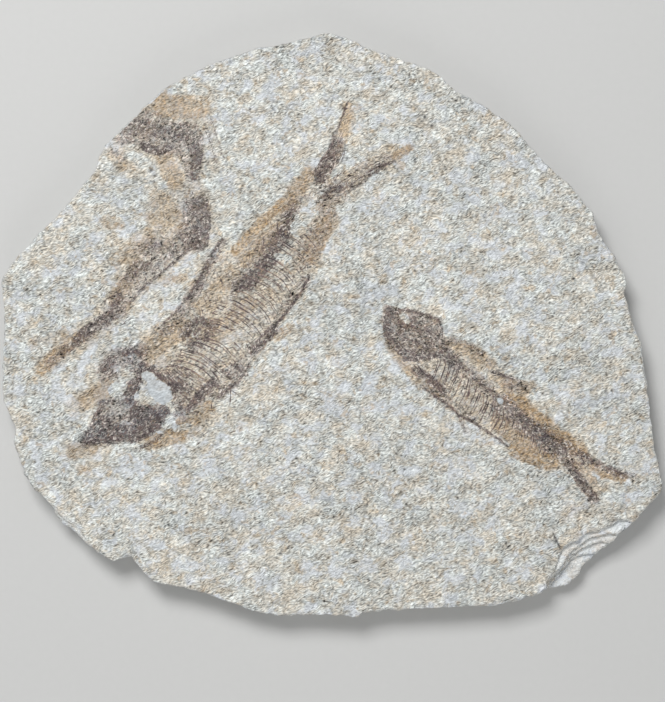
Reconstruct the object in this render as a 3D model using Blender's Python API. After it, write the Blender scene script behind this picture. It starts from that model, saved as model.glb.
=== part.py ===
"""A split slab of laminated limestone with three fossil fishes fixed in its upper face.

The slab lies flat with the split face up. The frame is in metres: +X along the length of the face, +Y across
it, +Z up out of it. The origin is under the middle of the slab, at the level of its flat back.
"""

import math

import bmesh
import bpy
from mathutils import Vector, noise
from mathutils.geometry import delaunay_2d_cdt

MM = 0.001

# Driving sizes of the slab, in millimetres and degrees.
FACE_HEIGHT = 9.5  # from the flat back to the mean level of the split face
FACE_SWELL = 0.3  # how far the face rises and dips about that level
FACE_GRID = 6.5  # spacing of the face's own points
STREAK_ANGLE = 24  # the way that the bedding's low streaks run
LAYER_TOPS = (1.7, 3.4, 5.0, 6.2, 7.3, 8.4, 9.5)  # the layers that show in the broken rim
LAYER_GAP = 0.12  # height of the nick between one layer and the next
LAYER_BATTER = 0.25  # how far a layer's edge leans in over its own height
LAYER_RAGGED = 0.7  # how far the layers' edges wander from each other
RIM_CENTRE = (2.6, -1.6)  # every point of the rim is seen from here

# The rim's outline on the face, clockwise from the peak at the far side.
RIM = (
    (-0.3, 84.8), (6.4, 82.5), (11.0, 80.2), (15.9, 78.4), (22.9, 76.3), (27.5, 74.4),
    (31.0, 72.4), (36.5, 67.7), (42.3, 64.5), (48.3, 60.5), (51.6, 58.4), (54.8, 55.2),
    (58.0, 51.2), (61.5, 47.4), (67.0, 42.2), (71.0, 38.4), (73.6, 34.7), (76.0, 31.8),
    (76.8, 28.0), (78.9, 23.9), (82.0, 19.6), (84.7, 14.4), (85.8, 11.2), (85.2, 8.6),
    (87.3, 0.7), (89.9, -7.1), (91.3, -18.1), (92.0, -26.0), (93.6, -37.6), (95.4, -46.0),
    (95.4, -48.6), (93.1, -50.9), (89.6, -54.4), (88.1, -56.4), (85.5, -58.7), (83.2, -61.3),
    (81.5, -63.4), (78.9, -65.1), (76.0, -67.4), (72.8, -70.3), (71.3, -72.9), (68.7, -75.5),
    (66.7, -76.1), (61.7, -76.6), (60.0, -77.7), (53.3, -79.9), (45.8, -81.9), (39.1, -81.6),
    (26.2, -82.2), (16.5, -82.5), (9.3, -83.4), (7.5, -84.8), (4.0, -84.2), (-6.1, -84.2),
    (-14.8, -84.2), (-18.2, -83.7), (-21.5, -82.9), (-31.1, -79.6), (-40.9, -76.4), (-51.1, -74.7),
    (-54.0, -71.5), (-57.4, -67.3), (-61.2, -68.0), (-62.4, -68.9), (-66.7, -66.4), (-70.8, -63.4),
    (-74.6, -60.2), (-78.0, -57.9), (-80.4, -53.8), (-84.1, -48.9), (-85.6, -48.3), (-88.5, -43.4),
    (-89.6, -39.3), (-91.7, -34.4), (-91.1, -30.6), (-94.6, -22.6), (-95.0, -17.5), (-94.9, -7.7),
    (-94.4, 0.1), (-95.4, 11.7), (-94.7, 13.8), (-92.8, 17.0), (-88.8, 21.3), (-84.4, 26.5),
    (-79.2, 31.2), (-74.6, 37.0), (-68.5, 44.5), (-67.6, 47.4), (-65.9, 51.2), (-63.5, 54.1),
    (-58.3, 58.7), (-55.1, 62.2), (-51.4, 65.7), (-48.0, 68.6), (-42.1, 71.8), (-35.7, 75.3),
    (-31.1, 77.0), (-25.8, 78.7), (-20.0, 80.5), (-16.3, 80.8), (-11.0, 82.2), (-5.2, 83.7),
    (-2.1, 84.8),
)

# Where the lower layers stand out past the face: middle and half width in degrees round the rim, and reach.
FLARES = ((-144.0, 13.0, 2.4), (-63.5, 9.0, 2.3), (-96.0, 6.0, 0.9), (8.0, 16.0, 0.8), (60.0, 14.0, 0.7))
# Flakes missing from the back's rim, in the same terms, and the number of layers that each took.
BACK_SCARS = ((118.0, 17.0, 11.0, 1), (-20.0, 12.0, 8.5, 2), (-112.0, 11.0, 7.0, 1))
# The corner where the upper layers break back in steps: (degrees, setback) along each layer's edge.
CORNER_STEPS = {
    6: ((-33.5, 0), (-35, 4.2), (-37, 4.4), (-38.1, 5.7), (-40, 7.2), (-43, 6.4), (-45, 8.6), (-48, 6.0),
        (-50.8, 2.5), (-52.5, 0)),
    5: ((-36, 0), (-37, 1.6), (-38.9, 4.1), (-42.4, 4.7), (-45.4, 5.2), (-48, 5.2), (-50.8, 1.9), (-52, 0)),
    4: ((-37.5, 0), (-39, 1.9), (-41, 3.0), (-44, 3.9), (-46, 4.4), (-48, 4.4), (-50, 2.6), (-51.6, 0)),
    3: ((-41, 0), (-42.7, 1.4), (-44.1, 2.5), (-45.7, 3.4), (-47.8, 3.3), (-49.5, 1.8), (-51, 0)),
}

# How the fishes sit in the stone.
CLEARANCE = 0.3  # gap between a fish and its pocket
UNDERSIDE = 8.5  # height of a fish's flat underside
PLATE_GRID = 3.2  # spacing of a fish's own points
RIDGE_WIDTH = 0.55  # half width of a rib, ray or backbone
EDGE_RELIEF = 0.08  # how far a fish's edge stands over the stone

# Each fish's outline runs clockwise from its jaws.
LARGE_OUTLINE = (
    (-71.4, -34.4), (-70.8, -31.8), (-69.0, -28.6), (-67.3, -25.7), (-66.4, -22.8), (-63.5, -21.6),
    (-63.2, -18.1), (-65.9, -15.8), (-65.9, -12.6), (-64.1, -10.0), (-60.9, -8.6), (-57.2, -7.7),
    (-53.4, -7.7), (-51.6, -3.9), (-49.3, -1.0), (-46.7, 1.6), (-43.8, 4.5), (-41.5, 7.4),
    (-39.8, 10.9), (-36.9, 15.2), (-34.2, 19.6), (-31.3, 23.6), (-30.2, 21.9), (-27.3, 23.6),
    (-24.4, 26.8), (-21.5, 30.6), (-18.3, 33.8), (-14.2, 37.0), (-11.3, 39.9), (-8.4, 42.5),
    (-5.2, 43.6), (-3.5, 46.8), (-1.2, 50.0), (0.6, 52.6), (2.0, 56.4), (3.5, 60.8),
    (5.2, 64.8), (6.6, 63.1), (6.9, 59.0), (5.8, 54.1), (4.9, 50.6), (4.3, 47.7),
    (5.2, 46.5), (9.0, 48.3), (14.2, 50.0), (18.8, 51.2), (22.3, 51.8), (24.0, 50.9),
    (21.1, 48.9), (17.4, 46.5), (13.0, 43.9), (8.7, 41.6), (5.5, 38.7), (2.9, 35.2),
    (1.1, 31.5), (0.0, 27.7), (0.3, 23.1), (0.3, 19.0), (-2.9, 17.5), (-6.1, 17.0),
    (-6.1, 13.2), (-8.1, 9.4), (-10.5, 5.9), (-13.1, 2.5), (-14.2, -0.4), (-11.6, -1.9),
    (-13.4, -4.2), (-16.8, -7.1), (-20.6, -9.4), (-22.6, -8.6), (-24.1, -10.6), (-24.1, -12.9),
    (-26.4, -16.1), (-29.3, -19.6), (-31.9, -21.3), (-35.1, -22.8), (-35.7, -26.5), (-37.4, -29.7),
    (-39.8, -31.2), (-42.7, -30.0), (-42.4, -32.9), (-43.5, -35.5), (-46.7, -36.1), (-51.1, -35.5),
    (-56.0, -36.7), (-56.9, -34.1), (-61.8, -34.4), (-66.1, -34.4), (-69.3, -35.2),
)
SMALL_OUTLINE = (
    (14.8, 3.9), (15.6, 6.2), (17.1, 5.4), (18.8, 4.2), (21.1, 4.5), (25.2, 3.3),
    (29.3, 1.9), (31.9, 1.0), (32.5, -1.9), (32.2, -4.8), (35.9, -4.5), (39.7, -5.4),
    (42.9, -7.1), (45.5, -10.6), (47.8, -13.5), (52.2, -14.4), (56.5, -15.5), (58.3, -18.4),
    (57.7, -21.0), (55.4, -22.2), (57.7, -24.8), (61.7, -27.7), (65.2, -30.9), (67.3, -32.9),
    (69.3, -34.7), (71.3, -35.8), (73.3, -37.8), (76.5, -40.5), (80.3, -41.9), (83.8, -43.4),
    (87.0, -44.8), (84.7, -45.7), (80.9, -45.4), (78.0, -44.5), (76.5, -46.0), (76.0, -48.3),
    (78.0, -50.6), (75.1, -52.1), (73.6, -50.6), (71.9, -47.7), (67.8, -43.9), (64.1, -41.0),
    (60.9, -39.9), (57.7, -40.5), (55.7, -41.0), (54.2, -38.4), (53.3, -36.4), (50.4, -35.5),
    (47.0, -32.6), (43.2, -30.3), (41.4, -29.7), (40.3, -31.8), (38.3, -31.2), (37.1, -28.6),
    (36.2, -26.0), (32.7, -23.3), (29.6, -20.7), (26.9, -18.7), (23.5, -15.5), (20.6, -11.7),
    (18.0, -8.6), (15.6, -4.5), (14.8, -0.4),
)
BENT_OUTLINE = (
    (-61.2, 52.1), (-58.6, 54.1), (-55.7, 57.3), (-52.5, 60.2), (-49.3, 62.8), (-46.1, 64.8),
    (-41.5, 65.4), (-37.7, 63.9), (-36.3, 60.8), (-36.9, 56.4), (-36.6, 51.2), (-38.0, 46.3),
    (-38.6, 41.3), (-37.1, 37.0), (-35.4, 33.8), (-34.8, 29.1), (-34.8, 24.5), (-37.1, 21.9),
    (-40.9, 21.0), (-44.4, 17.5), (-48.2, 14.1), (-51.9, 10.6), (-55.4, 7.4), (-58.0, 4.8),
    (-58.0, 0.7), (-61.8, -1.3), (-65.9, -2.5), (-69.9, -4.8), (-74.0, -6.5), (-77.5, -9.4),
    (-80.9, -12.9), (-84.1, -14.4), (-84.7, -12.0), (-82.7, -9.4), (-85.3, -7.7), (-86.4, -5.1),
    (-82.7, -3.9), (-78.3, -2.2), (-75.1, 0.4), (-71.7, 2.2), (-66.7, 3.0), (-66.1, 7.1),
    (-65.0, 11.2), (-62.1, 15.2), (-58.3, 19.3), (-54.8, 22.8), (-51.1, 25.4), (-48.7, 28.6),
    (-49.6, 33.2), (-51.1, 36.1), (-49.0, 39.0), (-47.6, 42.5), (-48.7, 46.3), (-49.6, 48.6),
    (-53.1, 48.6), (-56.6, 49.7), (-59.5, 50.3),
)

# A fish's relief: swell is its general height over the stone, and the spine runs from skull to tail. ribs are
# (first and last place along the spine as shares of it, count, lean from the spine in degrees, length). lines
# are other ridges, such as fin rays and the belly's keel. lumps are (x, y, radius, height), and pits where the
# height is below 0.
FISHES = {
    "large_fish": {
        "outline": LARGE_OUTLINE,
        "swell": 0.3,
        "spine": ((-47.3, -12.6), (-40.9, -5.4), (-33.7, 3.3), (-26.4, 12.0), (-20.0, 19.3), (-13.7, 25.7),
                  (-7.9, 32.0), (-3.2, 38.4), (-0.3, 41.9)),
        "ribs": (0.02, 0.64, 14, -40.0, 12.5),
        "lines": (
            ((-41.5, -25.7), (-37.8, -20.0), (-34.5, -15.5)),
            ((-32.8, 18.6), (-38.0, 10.8), (-41.0, 6.0)),
            ((0.4, 43.6), (2.2, 50.0), (4.6, 60.0)),
            ((1.6, 43.0), (3.9, 52.0), (5.6, 58.6)),
            ((3.2, 40.8), (10.0, 44.6), (20.0, 49.8)),
            ((2.6, 42.4), (8.0, 45.6), (15.6, 49.0)),
            ((-7.4, 13.2), (-10.4, 8.0), (-14.6, 2.6)),
            ((-14.8, -3.2), (-17.6, -5.3), (-20.6, -7.2)),
            ((-25.9, -12.4), (-28.0, -15.2), (-30.6, -18.2)),
        ),
        "lumps": (
            (-51.0, -28.0, 6.0, 0.45), (-59.5, -28.5, 6.5, 0.4), (-66.5, -31.0, 3.6, 0.3),
            (-61.5, -12.0, 3.6, 0.4), (-55.0, -10.8, 3.0, 0.35), (-54.2, -17.5, 2.6, 0.45),
            (-49.3, -20.3, 4.4, -0.75), (-60.2, -17.6, 3.2, -0.55), (-16.0, 17.8, 3.0, -0.5),
            (-8.2, 29.6, 3.4, -0.45), (-37.6, -3.0, 4.0, 0.3),
        ),
    },
    "small_fish": {
        "outline": SMALL_OUTLINE,
        "swell": 0.28,
        "spine": ((32.5, -5.9), (40.3, -15.2), (49.0, -23.3), (57.7, -30.6), (66.4, -37.0), (71.0, -41.0)),
        "ribs": (0.04, 0.6, 11, -38.0, 9.0),
        "lines": (
            ((24.6, -12.8), (27.8, -15.2), (30.7, -17.8)),
            ((30.6, -20.4), (37.4, -26.0), (47.4, -31.8)),
            ((72.6, -40.4), (77.0, -42.4), (84.0, -44.6)),
            ((72.4, -42.6), (74.2, -46.2), (75.4, -50.2)),
            ((46.2, -14.6), (51.4, -16.6), (55.8, -18.8)),
        ),
        "lumps": (
            (24.0, -4.0, 8.0, 0.35), (27.8, -1.4, 4.0, 0.15), (18.0, 0.6, 3.4, 0.2), (21.2, 0.8, 1.7, -0.35),
            (48.9, -22.8, 1.2, 0.3),
        ),
    },
    "bent_fish": {
        "outline": BENT_OUTLINE,
        "swell": 0.12,
        "spine": ((-44.5, 57.0), (-42.0, 50.0), (-42.6, 40.0), (-42.0, 30.0), (-47.5, 21.5), (-56.0, 13.6),
                  (-62.4, 4.6), (-71.0, -1.6), (-78.6, -6.6)),
        "ribs": (0.16, 0.6, 9, -50.0, 5.5),
        "lines": (((-58.4, 51.6), (-53.0, 54.6), (-48.0, 56.4)),),
        "lumps": ((-52.0, 54.6, 5.0, 0.35), (-43.0, 60.4, 4.0, 0.25), (-50.6, 51.2, 3.0, 0.25)),
    },
}
RIDGE_HEIGHTS = {"spine": 0.45, "rib": 0.28, "line": 0.3}
RIB_CURL = 8.0  # degrees that a rib turns towards the head at each of its steps
FAINT_SHARE = 0.5  # the bent fish's ridges against the others'


def clear_scene():
    for obj in list(bpy.data.objects):
        bpy.data.objects.remove(obj, do_unlink=True)


def rough_material(name, colour, roughness):
    material = bpy.data.materials.new(name)
    material.use_nodes = True
    shader = material.node_tree.nodes["Principled BSDF"]
    shader.inputs["Base Color"].default_value = (*colour, 1.0)
    shader.inputs["Roughness"].default_value = roughness
    shader.inputs["Metallic"].default_value = 0.0
    return material


def add_object(name, form, material):
    """Makes the bmesh an object, with faces outward and broad forms shaded smooth."""
    bmesh.ops.recalc_face_normals(form, faces=form.faces)
    mesh = bpy.data.meshes.new(name)
    form.to_mesh(mesh)
    form.free()
    mesh.shade_smooth()
    mesh.set_sharp_from_angle(angle=math.radians(25))
    if material:
        mesh.materials.append(material)
    obj = bpy.data.objects.new(name, mesh)
    bpy.context.scene.collection.objects.link(obj)
    return obj


def face_level(x, y):
    """Height of the split face at a place: low swells with streaks along the bedding."""
    turn = math.radians(STREAK_ANGLE)
    along = x * math.cos(turn) + y * math.sin(turn)
    across = y * math.cos(turn) - x * math.sin(turn)
    swell = noise.noise(Vector((along / 46, across / 34, 3.1)))
    streak = noise.noise(Vector((along / 19, across / 8, 7.7)))
    return FACE_HEIGHT + FACE_SWELL * (swell + 0.6 * streak)


def between(knots, place):
    """Value at a place along (place, value) knots, straight from one knot to the next, and 0 outside them."""
    knots = sorted(knots)
    for (low, first), (high, last) in zip(knots, knots[1:]):
        if low <= place <= high:
            return first + (last - first) * (place - low) / (high - low)
    return 0.0


def hump(angle, middle, half_width):
    """1 at the middle of a stretch of rim and 0 at its ends, the short way round."""
    away = abs((angle - middle + 180) % 360 - 180) / half_width
    return 0.5 + 0.5 * math.cos(math.pi * away) if away < 1 else 0.0


def layer_setback(layer, height, angle):
    """How far a layer's edge lies inside the slab's outline at a height and a direction."""
    turn = math.radians(angle)
    place = Vector((2.4 * math.cos(turn), 2.4 * math.sin(turn), 5.0 + 1.7 * layer))
    setback = LAYER_RAGGED * (noise.noise(place) + 0.6 * noise.noise(place * 3.7))
    for middle, half_width, reach in FLARES:
        setback += reach * hump(angle, middle, half_width) * (height / FACE_HEIGHT) ** 1.4
    for middle, half_width, reach, layers in BACK_SCARS:
        if layer < layers:
            setback += reach * hump(angle, middle, half_width) ** 0.6
    return setback + between(CORNER_STEPS.get(layer, ()), angle)


def rim_rings():
    """The rings of (x, y, z) round the slab from the back's edge to the face's edge.

    Each layer has a ring at its foot and one at its head. Heights only rise from ring to ring, so the bands
    between them can't cross. The widest ring at each direction lies on the outline itself.
    """
    levels = []
    foot = 0.0
    for layer, head in enumerate(LAYER_TOPS):
        levels.append((layer, foot, 0.0))
        levels.append((layer, head, LAYER_BATTER))
        foot = head + LAYER_GAP
    rings = [[] for _ in levels]
    for x, y in RIM:
        reach_x, reach_y = x - RIM_CENTRE[0], y - RIM_CENTRE[1]
        angle = math.degrees(math.atan2(reach_y, reach_x))
        radius = math.hypot(reach_x, reach_y)
        setbacks = [layer_setback(layer, height, angle) + batter for layer, height, batter in levels]
        for ring, (_, height, _), setback in zip(rings, levels, setbacks):
            share = (radius - setback + min(setbacks)) / radius
            ring.append((RIM_CENTRE[0] + reach_x * share, RIM_CENTRE[1] + reach_y * share, height))
    rings[-1] = [(x, y, face_level(x, y)) for x, y, _ in rings[-1]]
    return rings


def inside(outline, x, y):
    """True where a point lies within an outline."""
    found = False
    for (ax, ay), (bx, by) in zip(outline, outline[1:] + outline[:1]):
        if (ay > y) != (by > y) and x < ax + (bx - ax) * (y - ay) / (by - ay):
            found = not found
    return found


def distance_to_line(x, y, line):
    """Distance from a point to an open line of points."""
    nearest = math.inf
    for (ax, ay), (bx, by) in zip(line, line[1:]):
        dx, dy = bx - ax, by - ay
        share = min(1, max(0, ((x - ax) * dx + (y - ay) * dy) / (dx * dx + dy * dy)))
        nearest = min(nearest, math.hypot(x - ax - share * dx, y - ay - share * dy))
    return nearest


def grid_inside(outline, spacing, margin):
    """Points of a loose triangular grid within an outline, no nearer to it than the margin."""
    closed = outline + outline[:1]
    low_x, high_x = min(x for x, _ in outline), max(x for x, _ in outline)
    low_y, high_y = min(y for _, y in outline), max(y for _, y in outline)
    points = []
    row = 0
    while low_y + row * spacing * 0.87 < high_y:
        column = 0
        while low_x + column * spacing < high_x:
            x = low_x + (column + row % 2 / 2) * spacing
            y = low_y + row * spacing * 0.87
            x += 0.35 * spacing * noise.noise(Vector((x * 0.9, y * 0.9, 1.0)))
            y += 0.35 * spacing * noise.noise(Vector((x * 0.9, y * 0.9, 9.0)))
            if inside(outline, x, y) and distance_to_line(x, y, closed) > margin:
                points.append((x, y))
            column += 1
        row += 1
    return points


def triangulate(outline, extra_points, extra_lines=()):
    """Triangles that fill an outline and use every extra point and line: ((x, y) points, corner triples)."""
    points = [Vector(p) for p in outline]
    edges = []
    for line in extra_lines:
        first = len(points)
        points += [Vector(p) for p in line]
        edges += [(i, i + 1) for i in range(first, len(points) - 1)]
    points += [Vector(p) for p in extra_points]
    filled = delaunay_2d_cdt(points, edges, [list(range(len(outline)))], 1, 1e-4)
    return [tuple(p) for p in filled[0]], [tuple(face) for face in filled[2]]


def build_slab(material):
    rings = rim_rings()
    form = bmesh.new()
    loops = [[form.verts.new(Vector(p) * MM) for p in ring] for ring in rings]
    for lower, upper in zip(loops, loops[1:]):
        for i in range(len(RIM)):
            j = (i + 1) % len(RIM)
            form.faces.new((lower[i], lower[j], upper[j], upper[i]))
    form.faces.new(loops[0])
    edge = [(x, y) for x, y, _ in rings[-1]]
    points, triangles = triangulate(edge, grid_inside(edge, FACE_GRID, 0.4 * FACE_GRID))
    corners = list(loops[-1])
    for x, y in points[len(edge):]:
        corners.append(form.verts.new(Vector((x, y, face_level(x, y))) * MM))
    for triangle in triangles:
        form.faces.new([corners[i] for i in triangle])
    return add_object("slab", form, material)


def point_along(line, share):
    """Place and direction at a share of a line's length."""
    lengths = [math.dist(a, b) for a, b in zip(line, line[1:])]
    left = share * sum(lengths)
    for (ax, ay), (bx, by), length in zip(line, line[1:], lengths):
        if left <= length:
            break
        left -= length
    part = left / length
    return (ax + (bx - ax) * part, ay + (by - ay) * part), math.atan2(by - ay, bx - ax)


def rib_lines(outline, spine, first, last, count, lean, length):
    """Ribs off one side of the spine, swept back and then curling down, each ending short of the belly."""
    ribs = []
    for i in range(count):
        (x, y), heading = point_along(spine, first + (last - first) * i / (count - 1))
        rib = []
        for step in range(5):
            turn = heading + math.radians(lean - RIB_CURL * step)
            reach = 1.2 + (length - 1.2) * step / 4 * (1.0 - 0.35 * i / count)
            end = (x + reach * math.cos(turn), y + reach * math.sin(turn))
            if inside(outline, *end) and distance_to_line(*end, outline + outline[:1]) > 1.3:
                rib.append(end)
        if len(rib) > 2:
            ribs.append(rib)
    return ribs


def shifted(line, step):
    """The line moved sideways by a step, for the foot of a ridge."""
    moved = []
    for i, (x, y) in enumerate(line):
        (ax, ay), (bx, by) = line[max(i - 1, 0)], line[min(i + 1, len(line) - 1)]
        length = math.dist((ax, ay), (bx, by))
        moved.append((x - step * (by - ay) / length, y + step * (bx - ax) / length))
    return moved


def runs_inside(outline, line):
    """The stretches of a line that keep well inside the outline."""
    edge = outline + outline[:1]
    runs = [[]]
    for x, y in line:
        if inside(outline, x, y) and distance_to_line(x, y, edge) > RIDGE_WIDTH:
            runs[-1].append((x, y))
        else:
            runs.append([])
    return [run for run in runs if len(run) > 1]


def fish_relief(fish, ridges):
    """A function of (x, y) that gives the fish's height over the stone."""
    edge = fish["outline"] + fish["outline"][:1]

    def relief(x, y):
        rise = min(1.0, distance_to_line(x, y, edge) / 2.0)
        height = fish["swell"]
        height += 0.12 * noise.noise(Vector((x / 4.0, y / 4.0, 2.0)))
        for lump_x, lump_y, radius, lump in fish["lumps"]:
            away = math.hypot(x - lump_x, y - lump_y) / radius
            height += lump * max(0.0, 1 - away * away)
        height += max(
            (crest * max(0.0, 1 - distance_to_line(x, y, line) / RIDGE_WIDTH) for line, crest in ridges),
            default=0.0,
        )
        return EDGE_RELIEF + rise * height

    return relief


def build_fish(name, fish, material):
    """A thin plate with the fish's outline, a relief on top and a flat underside."""
    outline = fish["outline"]
    strength = FAINT_SHARE if name == "bent_fish" else 1.0
    ribs = rib_lines(outline, fish["spine"], *fish["ribs"])
    ridges = [(fish["spine"], RIDGE_HEIGHTS["spine"] * strength)]
    ridges += [(rib, RIDGE_HEIGHTS["rib"] * strength) for rib in ribs]
    ridges += [(line, RIDGE_HEIGHTS["line"] * strength) for line in fish["lines"]]
    lines = []
    for line, _ in ridges:
        for side in (line, shifted(line, RIDGE_WIDTH), shifted(line, -RIDGE_WIDTH)):
            lines += runs_inside(outline, side)
    loose = [
        (x, y)
        for x, y in grid_inside(outline, PLATE_GRID, 0.7)
        if all(distance_to_line(x, y, line) > 0.9 * RIDGE_WIDTH for line in lines)
    ]
    points, triangles = triangulate(outline, loose, lines)
    relief = fish_relief(fish, ridges)
    form = bmesh.new()
    top = [form.verts.new(Vector((x, y, face_level(x, y) + relief(x, y))) * MM) for x, y in points]
    for triangle in triangles:
        form.faces.new([top[i] for i in triangle])
    under = [form.verts.new(Vector((x, y, UNDERSIDE)) * MM) for x, y in outline]
    for i in range(len(outline)):
        j = (i + 1) % len(outline)
        form.faces.new((under[i], under[j], top[j], top[i]))
    form.faces.new(under)
    return add_object(name, form, material)


def grown(outline, step):
    """The clockwise outline moved outwards by a step, with sharp corners held to three steps."""
    moved = []
    for i, (x, y) in enumerate(outline):
        before = Vector((x, y)) - Vector(outline[i - 1])
        after = Vector(outline[(i + 1) % len(outline)]) - Vector((x, y))
        out_before = Vector((-before.y, before.x)).normalized()
        out_after = Vector((-after.y, after.x)).normalized()
        out = (out_before + out_after).normalized()
        reach = step / max(1 / 3, out.dot(out_after))
        moved.append((x + out.x * reach, y + out.y * reach))
    return moved


def cut_pocket(slab, name, outline):
    """Cuts the pocket that holds a fish, a clearance larger than it all round and under it."""
    form = bmesh.new()
    edge = grown(outline, CLEARANCE)
    floor = [form.verts.new(Vector((x, y, UNDERSIDE - CLEARANCE)) * MM) for x, y in edge]
    lid = [form.verts.new(Vector((x, y, FACE_HEIGHT + 3.0)) * MM) for x, y in edge]
    for i in range(len(edge)):
        j = (i + 1) % len(edge)
        form.faces.new((floor[i], floor[j], lid[j], lid[i]))
    form.faces.new(floor)
    form.faces.new(lid)
    cutter = add_object(name + "_pocket_cutter", form, None)
    cutter.hide_render = True
    cutter.display_type = "WIRE"
    pocket = slab.modifiers.new(name + "_pocket", "BOOLEAN")
    pocket.operation = "DIFFERENCE"
    pocket.solver = "EXACT"
    pocket.object = cutter


def main():
    clear_scene()
    limestone = rough_material("limestone", (0.56, 0.55, 0.50), 0.92)
    fossils = {
        "large_fish": rough_material("large_fish_bone", (0.24, 0.18, 0.13), 0.7),
        "small_fish": rough_material("small_fish_bone", (0.21, 0.16, 0.12), 0.7),
        "bent_fish": rough_material("bent_fish_bone", (0.33, 0.27, 0.22), 0.8),
    }
    slab = build_slab(limestone)
    for name, fish in FISHES.items():
        build_fish(name, fish, fossils[name])
        cut_pocket(slab, name, fish["outline"])


main()
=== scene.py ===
"""A split slab of laminated limestone with three fossil fishes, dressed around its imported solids.

Lengths are millimetres in the slab's own frame: +X along the face, +Y across it, +Z out of it. The add-on's
settings, the lights' places and the trees' own inputs are metres.
"""

import math
from collections import Counter

import bpy
import numpy as np
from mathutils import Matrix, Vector, noise
from mathutils.bvhtree import BVHTree
from mathutils.geometry import delaunay_2d_cdt


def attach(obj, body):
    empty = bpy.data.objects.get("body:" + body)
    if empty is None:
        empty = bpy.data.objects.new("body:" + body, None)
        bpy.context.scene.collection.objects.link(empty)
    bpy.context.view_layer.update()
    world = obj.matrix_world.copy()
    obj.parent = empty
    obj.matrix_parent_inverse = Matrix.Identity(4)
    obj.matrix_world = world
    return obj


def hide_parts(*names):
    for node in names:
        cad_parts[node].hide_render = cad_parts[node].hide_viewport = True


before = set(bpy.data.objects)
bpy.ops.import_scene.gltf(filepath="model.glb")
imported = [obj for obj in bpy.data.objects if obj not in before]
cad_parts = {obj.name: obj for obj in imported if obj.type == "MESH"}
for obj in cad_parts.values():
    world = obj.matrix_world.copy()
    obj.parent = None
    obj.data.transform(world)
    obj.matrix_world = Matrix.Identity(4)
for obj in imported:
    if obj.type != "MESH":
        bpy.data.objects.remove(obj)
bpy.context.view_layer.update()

bl_info = {
    "name": "Fossil Fish Slab",
    "version": (1, 0, 0),
    "blender": (4, 5, 0),
    "location": "3D View > Sidebar > Fossil Slab",
    "description": "Builds a limestone slab with three fossil fishes in its split face",
    "category": "Add Mesh",
}

MM = 0.001

# ----------------------------------------------------------------------------------------- the stone's sizes
RIM_CENTRE = (2.6, -1.6)  # every point of the rim is seen from here
RIM_FAR = 150  # further out than any point of the rim
RIM_STEPS = 880  # points in each ring of the rim
TURNS = np.arange(RIM_STEPS) * 2 * math.pi / RIM_STEPS
LAYER_TOPS = (1.7, 3.4, 5.0, 6.2, 7.3, 8.4, 9.5)
LAYER_GAP = 0.12  # height of the nick between one layer and the next
BEVELS = ((0.10, 0.16), (0.42, 0.0))  # the rim's last rings: how far in from its edge and under the face
BACK_BEVEL = (0.35, 0.14)  # how far in the back starts from the rim's lowest ring, and how high that is
OPEN_LAYERS = (8.4, 7.3, 6.2, 5.0)  # tops of the layers that lie open in steps at the broken corner
TREAD_SHARES = (0.3, 0.7, 0.90, 0.97)  # where rings cross a step's tread
TREAD_RISE = 0.10  # how much of the way up to the next layer a tread climbs
TREAD_WIDTH = (0.7, 0.9)  # the width where a tread starts to show, and how much wider it shows fully
TREAD_PAINTED_LIGHT = 0.9  # painted light: how much paler than the broken rim the treads are made, against the shade that the layers above cast on them
CREASE_SHADE = 0.85  # painted shade at the foot of each step, where the step above shades the tread
FACE_SPACING = 0.70  # between the face's points
MARK_SPACING = 0.24  # between them near cracks, dots and the flake
MARK_REACH = 0.7  # how far from a mark they are that close
BACK_SPACING = 2.6
BACK_HOLLOW = 0.16
POCKET_SPACING = 3.0
POCKET_DEPTH = 0.75
STREAK_ANGLE = math.radians(24)  # the way that the bedding's streaks run
FLAKE_HEIGHT = 0.30
DOT_DEPTH = 0.22
FISH_REACH = 9.0  # depths in a fish's outline are capped at this distance

# ----------------------------------------------------------------------------------------- the fishes' sizes
FILM_REACH = 0.45  # how far a film passes its outline, over the edge of its pocket
FILM_LIFT = 0.015  # how far it stands over the stone there
FILM_UNDERSIDE = 8.85  # level of a film's flat underside, just over the floor of its pocket
STAIN_EDGE = 0.50  # how soft the stains' edges are, as a share of the softness given
STAIN_WARPS = ((0.34, 0.7), (0.45, 1.6), (0.25, 4))  # how far stains are shaken, and over what length
SPLINTER_SPREAD = 1.3  # how far splinters turn away from the way that their fish lies, in radians

# A thin flake that stands up near the broken corner.
FLAKE = (
    (63.8, -60.5), (67.0, -59.0), (69.9, -57.4), (71.0, -57.6), (71.6, -59.3),
    (72.5, -61.0), (71.6, -63.1), (70.3, -64.1), (68.1, -65.1), (65.8, -65.1),
)

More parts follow.
